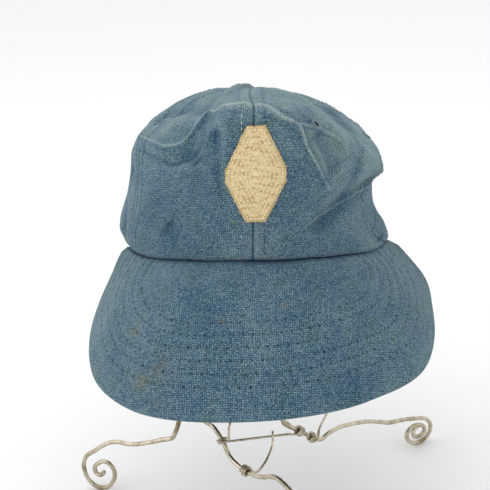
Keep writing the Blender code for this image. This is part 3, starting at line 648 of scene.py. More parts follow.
def threads(name, start, end, normal, radius, arch, material, slot, tint):
    """Stitches as little tubes: each centre line is a parabola of the given arch over its chord."""
    grid = (len(start), THREAD_RINGS, THREAD_SIDES)
    t = np.linspace(0, 1, THREAD_RINGS)
    hump = 4 * t * (1 - t)
    run = end - start
    side = unit(np.cross(run, normal))
    rise = unit(np.cross(side, run))
    middle = start[:, None] + run[:, None] * t[None, :, None]
    middle = middle + (rise * arch)[:, None] * hump[None, :, None]
    girth = radius * (THREAD_TIP + (1 - THREAD_TIP) * np.sqrt(hump))
    angle = around_circle(THREAD_SIDES)
    around = side[:, None, None] * np.cos(angle)[None, None, :, None]
    around = around + rise[:, None, None] * np.sin(angle)[None, None, :, None]
    points = middle[:, :, None] + girth[None, :, None, None] * around
    index = np.arange(points[..., 0].size).reshape(grid)
    ahead = np.roll(index, -1, axis=2)
    quads = np.stack([index[:, :-1], ahead[:, :-1], ahead[:, 1:], index[:, 1:]], -1).reshape(-1, 4).tolist()
    faces = quads + index[:, 0, ::-1].tolist() + index[:, -1].tolist()
    layers = {"along": np.broadcast_to(t[None, :, None], grid),
              "tint": np.broadcast_to(tint[:, None, None], grid)}
    return piece(name, points, faces, material, layers=layers)


def tube(name, path, radius, material, sides, replaces, swell=0.0):
    """A round wire: rings square to the path, turned as little as can be, with domed ends."""
    ahead = unit(np.gradient(path, axis=0))
    side = np.empty_like(path)
    first = np.cross(ahead[0], (0, 0, 1.0))
    side[0] = unit(first if np.linalg.norm(first) > 0.1 else np.cross(ahead[0], (0, 1.0, 0)))
    for i in range(1, len(path)):
        side[i] = unit(side[i - 1] - ahead[i] * (side[i - 1] @ ahead[i]))

    def with_ends(rows):
        return np.concatenate([np.repeat(rows[:1], len(DOME), 0), rows, np.repeat(rows[-1:], len(DOME), 0)])

    side, other = with_ends(side), with_ends(np.cross(ahead, side))
    lead = np.concatenate([path[:1] - ahead[:1] * radius * d for d in DOME])
    tail = np.concatenate([path[-1:] + ahead[-1:] * radius * d for d in DOME[::-1]])
    rows = np.concatenate([lead, path, tail])
    caps = radius * np.sqrt(1 - DOME**2)
    girth = np.concatenate([caps, radius * (1 + swell) * np.ones(len(path)), caps[::-1]])
    angle = around_circle(sides)
    around = side[:, None] * np.cos(angle)[None, :, None] + other[:, None] * np.sin(angle)[None, :, None]
    points = rows[:, None] + girth[:, None, None] * around
    last = (len(rows) - 1) * sides
    faces = grid_faces(len(rows), sides, wrap=True)
    faces += [list(range(sides))[::-1], list(range(last, last + sides))]
    obj = piece(name, points, faces, material, replaces=replaces)
    close_up(obj)


# ----------------------------------------------------------------------------------------- materials


class Graph:
    """Short calls that add nodes to a new material and link them."""

    def __init__(self, name, settings):
        self.material = bpy.data.materials.new(name)
        self.material.use_nodes = True
        self.tree = self.material.node_tree
        self.shader = self.tree.nodes["Principled BSDF"]
        self.shade(settings)

    def shade(self, settings):
        for key, value in settings.items():
            self.put(self.shader.inputs[key], value)

    def put(self, socket, value):
        if isinstance(value, bpy.types.NodeSocket):
            self.tree.links.new(value, socket)
        elif socket.type == "RGBA" and len(value) == 3:
            socket.default_value = (*value, 1)
        else:
            socket.default_value = value

    def node(self, kind, inputs=None, out=0, **settings):
        node = self.tree.nodes.new("ShaderNode" + kind)
        for key, value in settings.items():
            setattr(node, key, value)
        for key, value in (inputs or {}).items():
            self.put(node.inputs[key], value)
        return node.outputs[out]

    def math(self, operation, a, b=0.0, c=0.0):
        return self.node("Math", {0: a, 1: b, 2: c}, operation=operation)

    def plus(self, a, b):
        return self.math("ADD", a, b)

    def minus(self, a, b):
        return self.math("SUBTRACT", a, b)

    def times(self, a, b):
        return self.math("MULTIPLY", a, b)

    def over(self, a, b):
        return self.math("DIVIDE", a, b)

    def more(self, total, value, weight):
        return self.math("MULTIPLY_ADD", value, weight, total)

    def vector(self, operation, a, b):
        return self.node("VectorMath", {0: a, 1: b}, operation=operation)

    def parts(self, vector):
        return self.node("SeparateXYZ", {0: vector}).node.outputs

    def mix(self, factor, a, b, blend="MIX"):
        return self.node("Mix", {0: factor, 6: a, 7: b}, out=2, data_type="RGBA", blend_type=blend)

    def ramp(self, value, low, high, start=0.0, end=1.0):
        inputs = {0: value, 1: low, 2: high, 3: start, 4: end}
        return self.node("MapRange", inputs, interpolation_type="SMOOTHSTEP")

    def noise(self, vector, scale, detail=2.0, roughness=0.5, out=0):
        inputs = {"Vector": vector, "Scale": scale, "Detail": detail, "Roughness": roughness}
        return self.node("TexNoise", inputs, out=out)

    def layer(self, name):
        return self.node("Attribute", out=2, attribute_name=name)

    def cloth_map(self):
        """Millimetres of the cloth's own map."""
        return self.vector("MULTIPLY", self.node("UVMap", uv_map="cloth"), (MILLIMETRES, MILLIMETRES, 0))

    def scaled(self, x, y, rate_x, rate_y):
        return self.node("CombineXYZ", {0: self.times(x, rate_x), 1: self.times(y, rate_y)})

    def bump(self, height, distance, strength):
        inputs = {"Strength": strength, "Distance": distance, "Height": height}
        self.shade({"Normal": self.node("Bump", inputs)})


# How much the wear layer, which on the crown also carries painted light and painted shade, and a folded
# edge's pale line of wear and painted highlight, its painted shadow and the painted shadow of the groove
# behind it change the cloth's tone.
WEAR_AND_SHADING_WEIGHT, PALE_WEIGHT, SHADOW_WEIGHT, GROOVE_SHADOW_WEIGHT = 0.24, 0.42, 0.32, 0.14
# Middle and weight in the tone of the weave, of which thread is on top, of each crossing's own shade, of the
# threads' uneven thickness, of fuzz and of the wash.
TONES = ((0.60, 0.75), (0.0, 0.10), (0.5, 0.40), (1.0, 0.15), (0.5, 1.35), (0.5, 0.36))
MIDDLE_TONE, TOP_TONE, PALE_TONE = 0.5, 1.08, 1.45
# Waviness of the cloth's threads, in millimetres, and how far a thread runs before its thickness changes.
WANDER, SLUB_RATE = 1.6, 0.10
CLOTH_BUMP, FELT_BUMP, WIRE_BUMP = 0.00022, 0.00035, 0.00012


def darker(colour_value, factor):
    return [part * factor for part in colour_value[:3]]


def cloth_material(name, rows=False, folded=False):
    """Plain weave in millimetres of the cloth map: dark gaps between threads, slubs, wash and wear, with the
    painted light and painted shade that the wear layer, the crease layer and the folded edges carry.
    """
    g = Graph(name, {"Roughness": 0.92, "Specular IOR Level": 0.15, "Sheen Weight": 0.30,
                     "Sheen Roughness": 0.42, "Sheen Tint": (0.78, 0.92, 0.88, 1)})
    f = finish()
    flat = g.cloth_map()
    wobble = g.vector("SUBTRACT", g.noise(flat, 0.10, out=1), (0.5, 0.5, 0.5))
    flat = g.vector("ADD", flat, g.vector("MULTIPLY", wobble, (WANDER, WANDER, 0)))
    x, y = g.parts(flat)[:2]
    pitch = cap().weave * MILLIMETRES
    warp_at, weft_at = g.over(x, pitch), g.over(y, pitch)
    over = g.times(g.math("SINE", g.times(warp_at, math.pi)), g.math("SINE", g.times(weft_at, math.pi)))
    weave = g.math("SQRT", g.math("ABSOLUTE", over))
    cell = g.node("CombineXYZ", {0: g.math("FLOOR", warp_at), 1: g.math("FLOOR", weft_at)})
    crossing = g.node("TexWhiteNoise", {"Vector": cell}, noise_dimensions="2D")
    slub = g.plus(g.noise(g.scaled(x, y, 1 / pitch, SLUB_RATE), 1.0, 1.0),
                  g.noise(g.scaled(x, y, SLUB_RATE, 1 / pitch), 1.0, 1.0))
    fuzz = g.noise(flat, 1.25, 0.0)
    wash = g.noise(flat, 0.045, 1.0)
    # The wear layer: wear everywhere, and on the crown also painted light and painted shade.
    tone = g.more(MIDDLE_TONE, g.layer("wear_and_shading"), WEAR_AND_SHADING_WEIGHT)
    for value, (middle, weight) in zip((weave, over, crossing, slub, fuzz, wash), TONES):
        tone = g.plus(tone, g.times(g.minus(value, middle), weight))
    tone = g.math("MINIMUM", tone, TOP_TONE)
    ridge = 0.0
    # Folded edges: a pale line of wear and painted highlight, a painted shadow under it and the painted
    # shadow of the groove behind it.
    for edge in EDGES if folded else ():
        away, pale = g.layer(edge["name"] + "_away"), g.layer(edge["name"] + "_pale")
        line = g.times(g.ramp(g.math("ABSOLUTE", away), 1.10, 0.2), pale)
        under = g.times(g.ramp(away, -edge["shadow"], -0.5), g.ramp(away, 0.1, -0.5))
        under = g.times(under, g.layer(edge["name"] + "_dark"))
        groove_shadow = g.times(g.times(g.ramp(away, 0.6, 1.4), g.ramp(away, 3.6, 1.6)), pale)
        for part, weight in ((line, PALE_WEIGHT), (under, -SHADOW_WEIGHT), (groove_shadow, -GROOVE_SHADOW_WEIGHT)):
            tone = g.more(tone, part, weight)
        ridge = g.plus(line, ridge)
    colour_ramp = g.node("ValToRGB", {0: g.times(tone, 1 / PALE_TONE)}).node
    stops = colour_ramp.color_ramp.elements
    stops[0].position, stops[0].color = 0.0, f.deep
    stops[1].position, stops[1].color = 1.0, f.pale
    for position, stop_colour in ((MIDDLE_TONE, f.washed), (1.0, f.faded)):
        stops.new(position / PALE_TONE).color = stop_colour
    base = colour_ramp.outputs[0]
    hue = g.noise(flat, 0.08, 1.0)
    base = g.mix(g.times(g.ramp(hue, 0.42, 0.66), 0.26), base, f.indigo, "SOFT_LIGHT")
    base = g.mix(g.times(g.ramp(hue, 0.55, 0.34), 0.30), base, f.moss, "SOFT_LIGHT")
    speck = g.node("TexVoronoi", {"Vector": flat, "Scale": 0.055}).node.outputs
    marked = g.times(g.ramp(speck[0], 0.055, 0.020), g.ramp(g.parts(speck[1])[0], 0.62, 0.66))
    base = g.mix(g.times(marked, 0.7), base, f.stain)
    # Crease layer: dark in the seams and at the rim, and painted shade in hollows, in the darkest areas of
    # the crown and in the join between crown and peak.
    base = g.mix(g.layer("crease"), base, f.deep)
    blotch = g.times(g.layer("stain"), g.ramp(g.noise(flat, 0.45, 3.0), 0.25, 0.60))
    base = g.mix(blotch, base, f.stain)
    height = g.plus(weave, g.more(g.times(fuzz, 0.6), ridge, 2.0))
    if rows:
        hole, groove = needle_rows(g)
        sunk = g.ramp(g.noise(flat, 0.10), 0.38, 0.62, 0.25, 0.95)
        # Painted shade in the needle holes, unevenly deep, and along the grooves of their rows.
        base = g.mix(g.times(hole, sunk), base, darker(f.deep, 0.25))
        base = g.mix(g.times(groove, 0.12), base, f.deep)
        height = g.minus(g.minus(height, g.times(hole, 4.0)), g.times(groove, 0.8))
    g.shade({"Base Color": base})
    g.bump(height, CLOTH_BUMP, 0.9)
    return g.material


NEEDLE_ROWS, NEEDLE_SHIFT = 6, 0.37


def needle_rows(g):
    """Needle holes at even steps along rows at even distances from the peak's edge, and the rows: masks for
    the painted shade in them and their sunk bump.
    """
    along, inset = g.parts(g.node("UVMap", uv_map="rows"))[:2]
    row = g.plus(g.over(g.minus(inset, peak().first_row), peak().row_step), 0.5)
    number = g.math("FLOOR", row)
    across = g.times(g.minus(g.math("FRACT", row), 0.5), peak().row_step * MILLIMETRES)
    place = g.math("FRACT", g.more(g.over(along, peak().hole_step), number, NEEDLE_SHIFT))
    beside = g.times(g.minus(place, 0.5), peak().hole_step * MILLIMETRES)
    away = g.math("SQRT", g.plus(g.times(across, across), g.times(beside, beside)))
    sewn = g.times(g.ramp(number, -0.6, -0.4), g.ramp(number, NEEDLE_ROWS - 0.4, NEEDLE_ROWS - 0.6))
    hole = g.times(g.ramp(away, 0.90, 0.45), sewn)
    groove = g.times(g.ramp(g.math("ABSOLUTE", across), 0.9, 0.1), sewn)
    return hole, groove


def thread_material(name, body, tip, light=(0.55, 0.62, 0.62), dark_from=0.28):
    """Sewing thread: painted shade where it dives into the cloth, pale or dark on tinted stitches."""
    g = Graph(name, {"Roughness": 0.85, "Sheen Weight": 0.3})
    end = g.math("ABSOLUTE", g.minus(g.layer("along"), 0.5))
    base = g.mix(g.ramp(g.layer("tint"), 0.0, 1.0), body, light)
    base = g.mix(g.ramp(g.layer("tint"), 0.0, -1.0), base, darker(tip, 0.4))
    # Painted shade at both ends of each stitch.
    g.shade({"Base Color": g.mix(g.ramp(end, dark_from, dark_from + 0.2), base, tip)})
    return g.material


def felt_material():
    """Cream felt: fine fibres, brown towards its aged edge and in old blotches, and painted shade between its
    rows.
    """
    g = Graph("aged_cream_felt", {"Roughness": 0.95, "Specular IOR Level": 0.1, "Sheen Weight": 0.35,
                                  "Sheen Roughness": 0.5})
    f = finish()
    flat = g.cloth_map()
    fibre = g.noise(flat, 1.2, 4.0, 0.7)
    x, y = g.parts(flat)[:2]
    blotch = g.noise(g.scaled(x, y, 0.16, 0.50), 1.0, 3.0, 0.6)
    # The edge layer holds the aged edge and the painted shade between the rows.
    aged_and_shaded = g.plus(g.layer("edge"), g.ramp(blotch, 0.40, 0.68, 0.0, 1.1))
    base = g.mix(g.ramp(aged_and_shaded, 0.05, 1.15), f.felt, f.felt_edge)
    g.shade({"Base Color": g.mix(g.ramp(fibre, 0.35, 0.65, 0.0, 0.60), base, (0.90, 0.79, 0.54))})
    g.bump(fibre, FELT_BUMP, 0.8)
    return g.material


def wire_material(name, scale):
    """Nickelled wire with brown tarnish in patches, fine scratches and small dents. The tarnish patches and
    the darkened nickel also stand in for dark reflections, as painted reflection.
    """
    g = Graph(name, {"Metallic": 1.0})
    f = finish()
    place = g.node("TexCoord", out=3)
    patches = g.noise(place, 45 * scale, 4.0, 0.65)
    grime = g.noise(place, 420 * scale, 3.0, 0.6)
    # Tarnish, partly real and partly painted dark reflection.
    tarnish_and_dark_reflection = g.ramp(g.more(patches, grime, 0.35), 0.50, 0.92)
    g.shade({"Base Color": g.mix(tarnish_and_dark_reflection, f.nickel, f.tarnish),
             "Roughness": g.ramp(tarnish_and_dark_reflection, 0.0, 1.0, 0.20, 0.55)})
    g.bump(g.plus(g.noise(place, 160 * scale, 3.0), grime), WIRE_BUMP, 0.6)
    return g.material


# ------------------------------------------------------------------------------------------- panels

PANEL_COLUMNS, PANEL_ROWS, CROWDING = 132, 168, 0.78
SEAM_LAP = 0.00005

# Relief of the cloth, in metres. A band is the doubled cloth up to a row of stitches: how far it is raised,
# how deep the stitches sink, and the puckers beside them with their height, reach, length, wander and seed.
SEAM_BAND, HEM_BAND = table(
    "raised dip pucker reach length wander seed",
    (0.00020, 0.00014, 0.00022, 0.0045, 0.0068, 2.5, 3),
    (0.00024, 0.00016, 0.00016, 0.0040, 0.0075, 2.0, 5),
)
BAND_PAST, BAND_SLOPE, DIP_WIDTH = 0.0008, 0.0003, 0.0006
# Unevenness of the cloth as height, size and seed.
SLACK = ((0.00042, 0.030, 11), (0.00016, 0.0095, 12))
# Depth and spread of a seam's valley, of its line and of the groove at the rim.
SEAM_VALLEY, SEAM_LINE, RIM_GROOVE = (0.00050, 0.0030), (0.00060, 0.00055), (0.00090, 0.0010)
# A row of stitches keeps within a share of a panel's width, and narrow panels have less relief.
ROW_SHARE, NARROW_PANEL = 0.26, 0.03
# Above this share up the panel the seams sink less, by this part.
TOP_SHARE, TOP_SINK = 0.66, 0.7
# Reach of the bulge test; the bulge for full pale wear on raised cloth, whose hollows also darken as painted
# shade; and the hollow for full painted shade in the crease layer.
BULGE_REACH, BULGE_WEAR_AND_SHADE, BULGE_SHADE_DEPTH = 0.004, 0.0009, 0.0011

# Wear, painted light and painted shade, pale above zero: strength, distance and spread beside a seam and
# above the rim, strength and spread of the painted shade in the groove of a row of stitches, strength on the
# paler top, partly faded and partly painted light, and higher up, and strength, size and seed of what is
# uneven.
SEAM_WORN, RIM_WORN, STITCH_ROW_SHADE = (0.35, 0.0018, 0.0016), (0.30, 0.0012, 0.0016), (-0.15, 0.0008)
TOP_FADE_AND_LIGHT, HIGHER_FADE_AND_LIGHT, HIGHER_FROM, TOP_SLOPE, HIGHER_SLOPE = 0.35, 0.65, 0.47, 0.006, 0.03
UNEVEN_WEAR, DYED_WEAR, CREASE_WIDTH = (0.25, 0.05, 21), -0.55, 0.0013
# Dark creases: strength and spread in a seam and at the rim, strength of the painted shade in hollows and in
# the darkest areas, and how much of a seam's crease the paler, partly painted-lit top hides in front and
# elsewhere.
SEAM_CREASE, RIM_CREASE, HOLLOW_SHADE, SHADE_CREASE = (0.85, 0.0005), (0.6, 0.0009), 0.22, 0.55
HIDDEN_IN_FRONT, HIDDEN_ELSEWHERE = 0.35, 0.8


def crowded_ends(count):
    """Shares from 0 to 1, closer together at both ends by a sine."""
    t = np.linspace(0, 1, count)
    return t - CROWDING * np.sin(CIRCLE * t) / CIRCLE


def mean_beside(point, station, axis):
    """Mean of the points one reach before and after each, by linear steps along a grid's axis."""
    rows = [
        (points_at(along - BULGE_REACH, along, line) + points_at(along + BULGE_REACH, along, line)) / 2
        for line, along in zip(np.moveaxis(point, 1 - axis, 0), np.moveaxis(station, 1 - axis, 0))
    ]
    return np.moveaxis(np.array(rows), 0, 1 - axis)


def bearing_in_degrees(turn):
    """From -180 to 180."""
    return np.mod(np.degrees(turn) + 180, 360) - 180


def edge_layers(turn, s):
    """For each folded edge its signed distance in millimetres, above it positive, and its two strengths: of
    its pale line of wear and painted highlight, and of its painted shadow.
    """
    layers = {}
    point = plain_crown(turn, s)
    for edge in EDGES:
        line = np.array(edge["line"], float)
        distance, along = nearest_on_line(fold_line(edge["line"], 60), point)
        rising = line[np.argsort(line[:, 0])]
        above = np.where(s > np.interp(bearing_in_degrees(turn), rising[:, 0], rising[:, 1]), 1.0, -1.0)
        away = np.clip(distance * MILLIMETRES, 0, EDGE_REACH)
        near = step_down(away, EDGE_REACH * 0.75, 0.3)
        layers[edge["name"] + "_away"] = away * above
        for k, layer in ((2, "_pale"), (3, "_dark")):
            rows = np.arange(len(line))
            layers[edge["name"] + layer] = np.interp(along * (len(line) - 1), rows, line[:, k]) * near
    return layers


def gaussians(point, spots):
    """The strongest of some round spots at each point."""
    total = np.zeros(point.shape[:-1])
    for middle, radius, strength in spots:
        away = np.linalg.norm(point - np.array(middle), axis=-1)
        total = np.maximum(total, strength * bell(away, radius))
    return total


def sewn_down(relief, distance, row, band, point, along, ease=1.0):
    """Adds a band: raised up to its row of stitches, sunk under them and puckered on both sides."""
    relief = relief + band["raised"] * step_down(distance, row + BAND_PAST, BAND_SLOPE)
    relief = relief - band["dip"] * bell(distance - row, DIP_WIDTH)
    pulled = np.sin(CIRCLE * along / band["length"] + band["wander"] * waves(point, 0.02, band["seed"]))
    return relief + band["pucker"] * pulled * bell(distance - row, band["reach"]) * ease


def worn_lit_and_shaded_cloth(turn, s, point, bulge, near_seam, up, row, shows):
    """Wear, painted light and painted shade, from dark below zero to pale: the sum of what the bulge, the
    seam, the rim, the creases, the top and the soft lit and shaded areas do. Also how far each point is on
    the paler top, and how dark the painted shade of the darkest areas is."""
    # Raised cloth is paler from wear, and hollows are darker as painted shade.
    worn_lit_and_shaded = np.clip(bulge / BULGE_WEAR_AND_SHADE, -0.6, 0.9)
    (beside, off_seam, wide), (over_rim, off_rim, high) = SEAM_WORN, RIM_WORN
    worn_lit_and_shaded = worn_lit_and_shaded + beside * shows * bell(near_seam - off_seam, wide) + over_rim * bell(up - off_rim, high)
    # Painted shade in the groove along the row of stitches.
    worn_lit_and_shaded = worn_lit_and_shaded + STITCH_ROW_SHADE[0] * bell(near_seam - row, STITCH_ROW_SHADE[1])
    # Creases: paler as wear and painted highlight, darker as painted shade.
    for crease in CREASES:
        worn_lit_and_shaded = worn_lit_and_shaded + crease["pale"] * crease_shape(crease, plain_crown(turn, s), CREASE_WIDTH)
    # The top is paler, partly faded and partly painted light and sheen.
    edge_of_top = np.interp(bearing_in_degrees(turn), *TOP_EDGE.T)
    above = step_down(edge_of_top - s, 0.0, TOP_SLOPE)
    worn_lit_and_shaded = worn_lit_and_shaded + above * (TOP_FADE_AND_LIGHT + HIGHER_FADE_AND_LIGHT * step_down(-s, -HIGHER_FROM, HIGHER_SLOPE))
    worn_lit_and_shaded = worn_lit_and_shaded + UNEVEN_WEAR[0] * waves(point, *UNEVEN_WEAR[1:]) + DYED_WEAR * gaussians(point, DARK_PATCHES)
    # Painted light and painted shade of the soft areas; the darkest also add painted shade towards deep blue.
    shade = np.zeros_like(worn_lit_and_shaded)
    for _, (bearing, share_up), radius, strength in LIT_AND_SHADED_AREAS:
        middle = crown(np.radians([bearing]), np.array([share_up]))[0]
        near = bell(np.linalg.norm(point - middle, axis=-1), radius)
        worn_lit_and_shaded = worn_lit_and_shaded + strength * near
        shade = np.maximum(shade, max(-1 - strength, 0) * near)
    return worn_lit_and_shaded, above, shade


def panel_surface(name):
    """One panel: the crown between two seams, raised over its turned edges, grooved under its stitches,
    puckered beside them and rolled in at the seams. Returns its grids by name."""
    seams = PANELS[name]
    u, s = np.meshgrid(crowded_ends(PANEL_COLUMNS), np.linspace(0, TIP_SHARE, PANEL_ROWS), indexing="ij")
    first, last = (np.radians(np.interp(s, SEAM_HEIGHTS, SEAMS[seam])) for seam in seams)
    turn = first + (last - first) * u
    point, normal = crown(turn, s), outward(plain_crown, turn, s)
    across, up = arc(point, 0), arc(point, 1)
    aside = point - (mean_beside(point, across, 0) + mean_beside(point, up, 1)) / 2
    bulge = (aside * normal).sum(-1)
    width = across[-1:]
    from_seam = np.minimum(across, width - across)
    row = np.minimum(cap().topstitch, width * ROW_SHARE)
    ease = np.clip(width / NARROW_PANEL, 0, 1)
    along = np.where(u < 0.5, up[:1], up[-1:])
    relief = sewn_down(0, from_seam, row, SEAM_BAND, point, along, ease)
    (high, wide, seed), (low, narrow, other_seed) = SLACK
    relief = relief + (high * waves(point, wide, seed) + low * waves(point, narrow, other_seed)) * ease
    if "front" not in name:
        relief = sewn_down(relief, up, cap().hem, HEM_BAND, point, across)
    sunk = 1 - TOP_SINK * step_down(-s, -TOP_SHARE, 0.02)
    shows = np.where(across < width / 2, *(FAINT_SEAMS.get(seam, 1.0) for seam in seams))
    seam_shape = sum(depth * bell(from_seam, spread) for depth, spread in (SEAM_VALLEY, SEAM_LINE))
    relief = relief - sunk * shows * seam_shape
    relief = relief - RIM_GROOVE[0] * bell(up, RIM_GROOVE[1])
    point = point + normal * relief[..., None]
    for edge, inner in ((0, 1), (-1, -2)):
        point[edge] = point[edge] - unit(point[inner] - point[edge]) * SEAM_LAP
    worn_lit_and_shaded, above, shade = worn_lit_and_shaded_cloth(turn, s, point, bulge, from_seam, up, row, shows)
    seen = shows * (1 - (HIDDEN_IN_FRONT if "front" in name else HIDDEN_ELSEWHERE) * above)
    crease = SEAM_CREASE[0] * seen * bell(from_seam, SEAM_CREASE[1]) + RIM_CREASE[0] * bell(up, RIM_CREASE[1])
    # Painted shade in hollows and in the darkest areas.
    crease = crease + HOLLOW_SHADE * np.clip(-bulge / BULGE_SHADE_DEPTH, 0, 1) + SHADE_CREASE * shade
    crease = np.clip(crease, 0, 1)
    layers = {"wear_and_shading": worn_lit_and_shaded, "crease": crease, "stain": gaussians(point, SPOTS), **edge_layers(turn, s)}
    return {
        "point": point, "normal": normal, "across": across, "up": up, "width": width[0], "row": row[0],
        "flat": np.stack([across - width / 2, up], -1), "layers": layers,
    }


def cap_place():
    """Where the middle of the cap's rim is in the shared frame."""
    return STAND_PLACE + np.array([0, 0, stand().rim_height])


# How much of its step a stitch shows, and its lift and its arch as shares of the thread's thickness.
STITCH_FILL, THREAD_LIFT, THREAD_ARCH = 0.72, 0.15, 0.35


def sewn_row(line, normal, pitch):
    """Starts, ends and normals of stitches at even steps along a polyline."""
    station = arc(line, 0)
    first = np.arange(pitch * 0.5, station[-1] - pitch, pitch)
    starts, ends = points_at(first, station, line), points_at(first + pitch * STITCH_FILL, station, line)
    return starts, ends, unit(points_at(first + pitch * STITCH_FILL / 2, station, normal))


def stitch_line(surface, key, far):
    """Points and normals of a panel at a distance up each column, or across each row from its first seam."""
    axis = 1 if key == "across" else 0
    stations, *grids = (np.moveaxis(surface[k], axis, 0) for k in (key, "point", "normal"))
    return [np.array([points_at(x, *rows) for x, *rows in zip(far, stations, grid)]) for grid in grids]


# The two rows beside the front seam: old pale thread on the left, dark thread on the right.
SEAM_SHADES = {("panel_front_left", 1): "broken", ("panel_front_right", 0): "dark"}
# Heights, as shares of the crown's, and spreads of the places where the broken thread shows.
BROKEN_THREAD = ((0.86, 0.06), (0.50, 0.03), (0.28, 0.02))
DARK_TINT, DARK_UP_TO = -0.9, 0.9
# The part of a seam that has stitches beside it, as rows of its panel, and a panel's least share of its box.
SEWN_ROWS, LEAST_SHARE = slice(2, -6), 0.31


def make_panels():
    """The six panels and the rows of stitches beside their seams and along the hem."""
    cloth = cloth_material("washed_canvas", folded=True)
    stitches = []
    for name in PANELS:
        surface = panel_surface(name)
        width, up = surface["width"], surface["up"]
        obj = piece("cloth_" + name, surface["point"] + cap_place(), grid_faces(*up.shape), cloth,
                    uv={"cloth": surface["flat"]}, layers=surface["layers"], replaces=(name,))
        solidify = obj.modifiers.new("Thickness", "SOLIDIFY")
        solidify.thickness, solidify.offset = cap().cloth, -1
        lines = []
        for k, far in enumerate((surface["row"], width - surface["row"])):
            line, normal = stitch_line(surface, "across", far)
            lines.append((line[SEWN_ROWS], normal[SEWN_ROWS], SEAM_SHADES.get((name, k), "plain")))
        if "front" not in name:
            lines.append((*stitch_line(surface, "up", [cap().hem] * len(up)), "plain"))
        for line, normal, shade in lines:
            start, end, out = sewn_row(line, normal, cap().stitch)
            height = (start[:, 2] + end[:, 2]) / 2 / cap().crown_height
            pale = sum(bell(height - middle, spread) for middle, spread in BROKEN_THREAD)
            dark = DARK_TINT * (height < DARK_UP_TO)
            tint = {"plain": 0 * height, "dark": dark, "broken": pale}[shade]
            stitches.append((start, end, out, tint))
    start, end, normal, tint = (np.concatenate(part) for part in zip(*stitches))
    lift = normal * cap().thread * THREAD_LIFT + cap_place()
    thread = thread_material("blue_thread", darker(finish().washed, 1.1), darker(finish().deep, 0.5))
    threads("topstitching", start + lift, end + lift, normal, cap().thread / 2, cap().thread * THREAD_ARCH,
            thread, "washed_blue_cloth", np.clip(tint, -1, 1))


# --------------------------------------------------------------------------------------------- peak

PEAK_GRID, EDGE_STEPS = (241, 64), 9
# Ripples of the cloth as height, size and seed, and the depth of the grooves along the rows of stitches.
RIPPLES, ROW_GROOVE = ((0.00035, 0.035, 31), (0.00012, 0.010, 32)), 0.00016
# The groove under the rim: its depth, its spread and about how long the peak is. The last of these is the
# share of the peak next to its free edge that has no relief.
RIM_DIP, RIM_DIP_SPREAD, PEAK_LENGTH, PLAIN_EDGE = 0.0004, 0.0015, 0.08, 0.03
# Wear: uneven by strength, size and seed, then of the whole peak, its ends, its free edge and the edge's rim.
PEAK_UNEVEN, PEAK_WORN, ENDS_WORN, EDGE_WORN, RIM_OF_EDGE_WORN = (0.25, 0.045, 41), 0.05, 0.45, 0.25, 0.3
EDGE_WORN_SPREAD, PEAK_DYED = 0.0030, -0.6
# Painted shade in the join between peak and crown: its strength and spread along the peak's inner edge and
# about how long the peak is. The tucked cloth hidden in the join is painted fully dark.
PEAK_JOIN_SHADE, PEAK_CREASE_SPREAD, CREASE_LENGTH = 0.9, 0.0016, 0.084
# How far the cloth's map follows the rim's curve, and the seam side's length as a share of the free edge's.
MAP_CURVE, SEAM_SIDE = 0.8, 0.8
# Places of the rows map that lie outside the rows of holes.
PAST_EDGE, OUT_OF_SIGHT = -0.02, -0.05


def peak_column(name, place):
    return cubic_through(column(PEAK_EDGE, "place"), column(PEAK_EDGE, name), place)


def peak_point(place, s):
    """Straight lines from the rim to the edge table's curve, bowed outwards by a parabola in s."""
    zero = np.zeros_like(place)
    turn = np.radians(PEAK_TURN)
    inner = plain_crown(place * turn, zero)
    front = plain_crown(zero, zero)
    end = plain_crown(np.where(place < 0, -turn, turn), zero)
    half_length = cap().head_length / 2
    y_end = -half_length * math.cos(turn)
    x = peak().width / 2 * peak_column("out", place)
    y = y_end + (-half_length - peak().reach - y_end) * peak_column("forward", place)
    z = end[..., 2] + (front[..., 2] - peak().hang - end[..., 2]) * peak_column("drop", place)
    outer = np.stack([x, y, z], -1)
    point = inner + (outer - inner) * s[..., None]
    depth = np.linalg.norm(outer - inner, axis=-1)
    rise = peak_column("bow", place) * depth * 4 * s * (1 - s)
    out, up = math.cos(PEAK_BULGE), math.sin(PEAK_BULGE)
    bulge = np.stack([out * np.sin(place * turn), -out * np.cos(place * turn), up + zero], -1)
    return point + bulge * rise[..., None] - np.array([0, 0, peak().gap])


def grid_normals(points):
    """Unit normals of a grid from its own differences."""
    return unit(np.cross(np.gradient(points, axis=0), np.gradient(points, axis=1)))


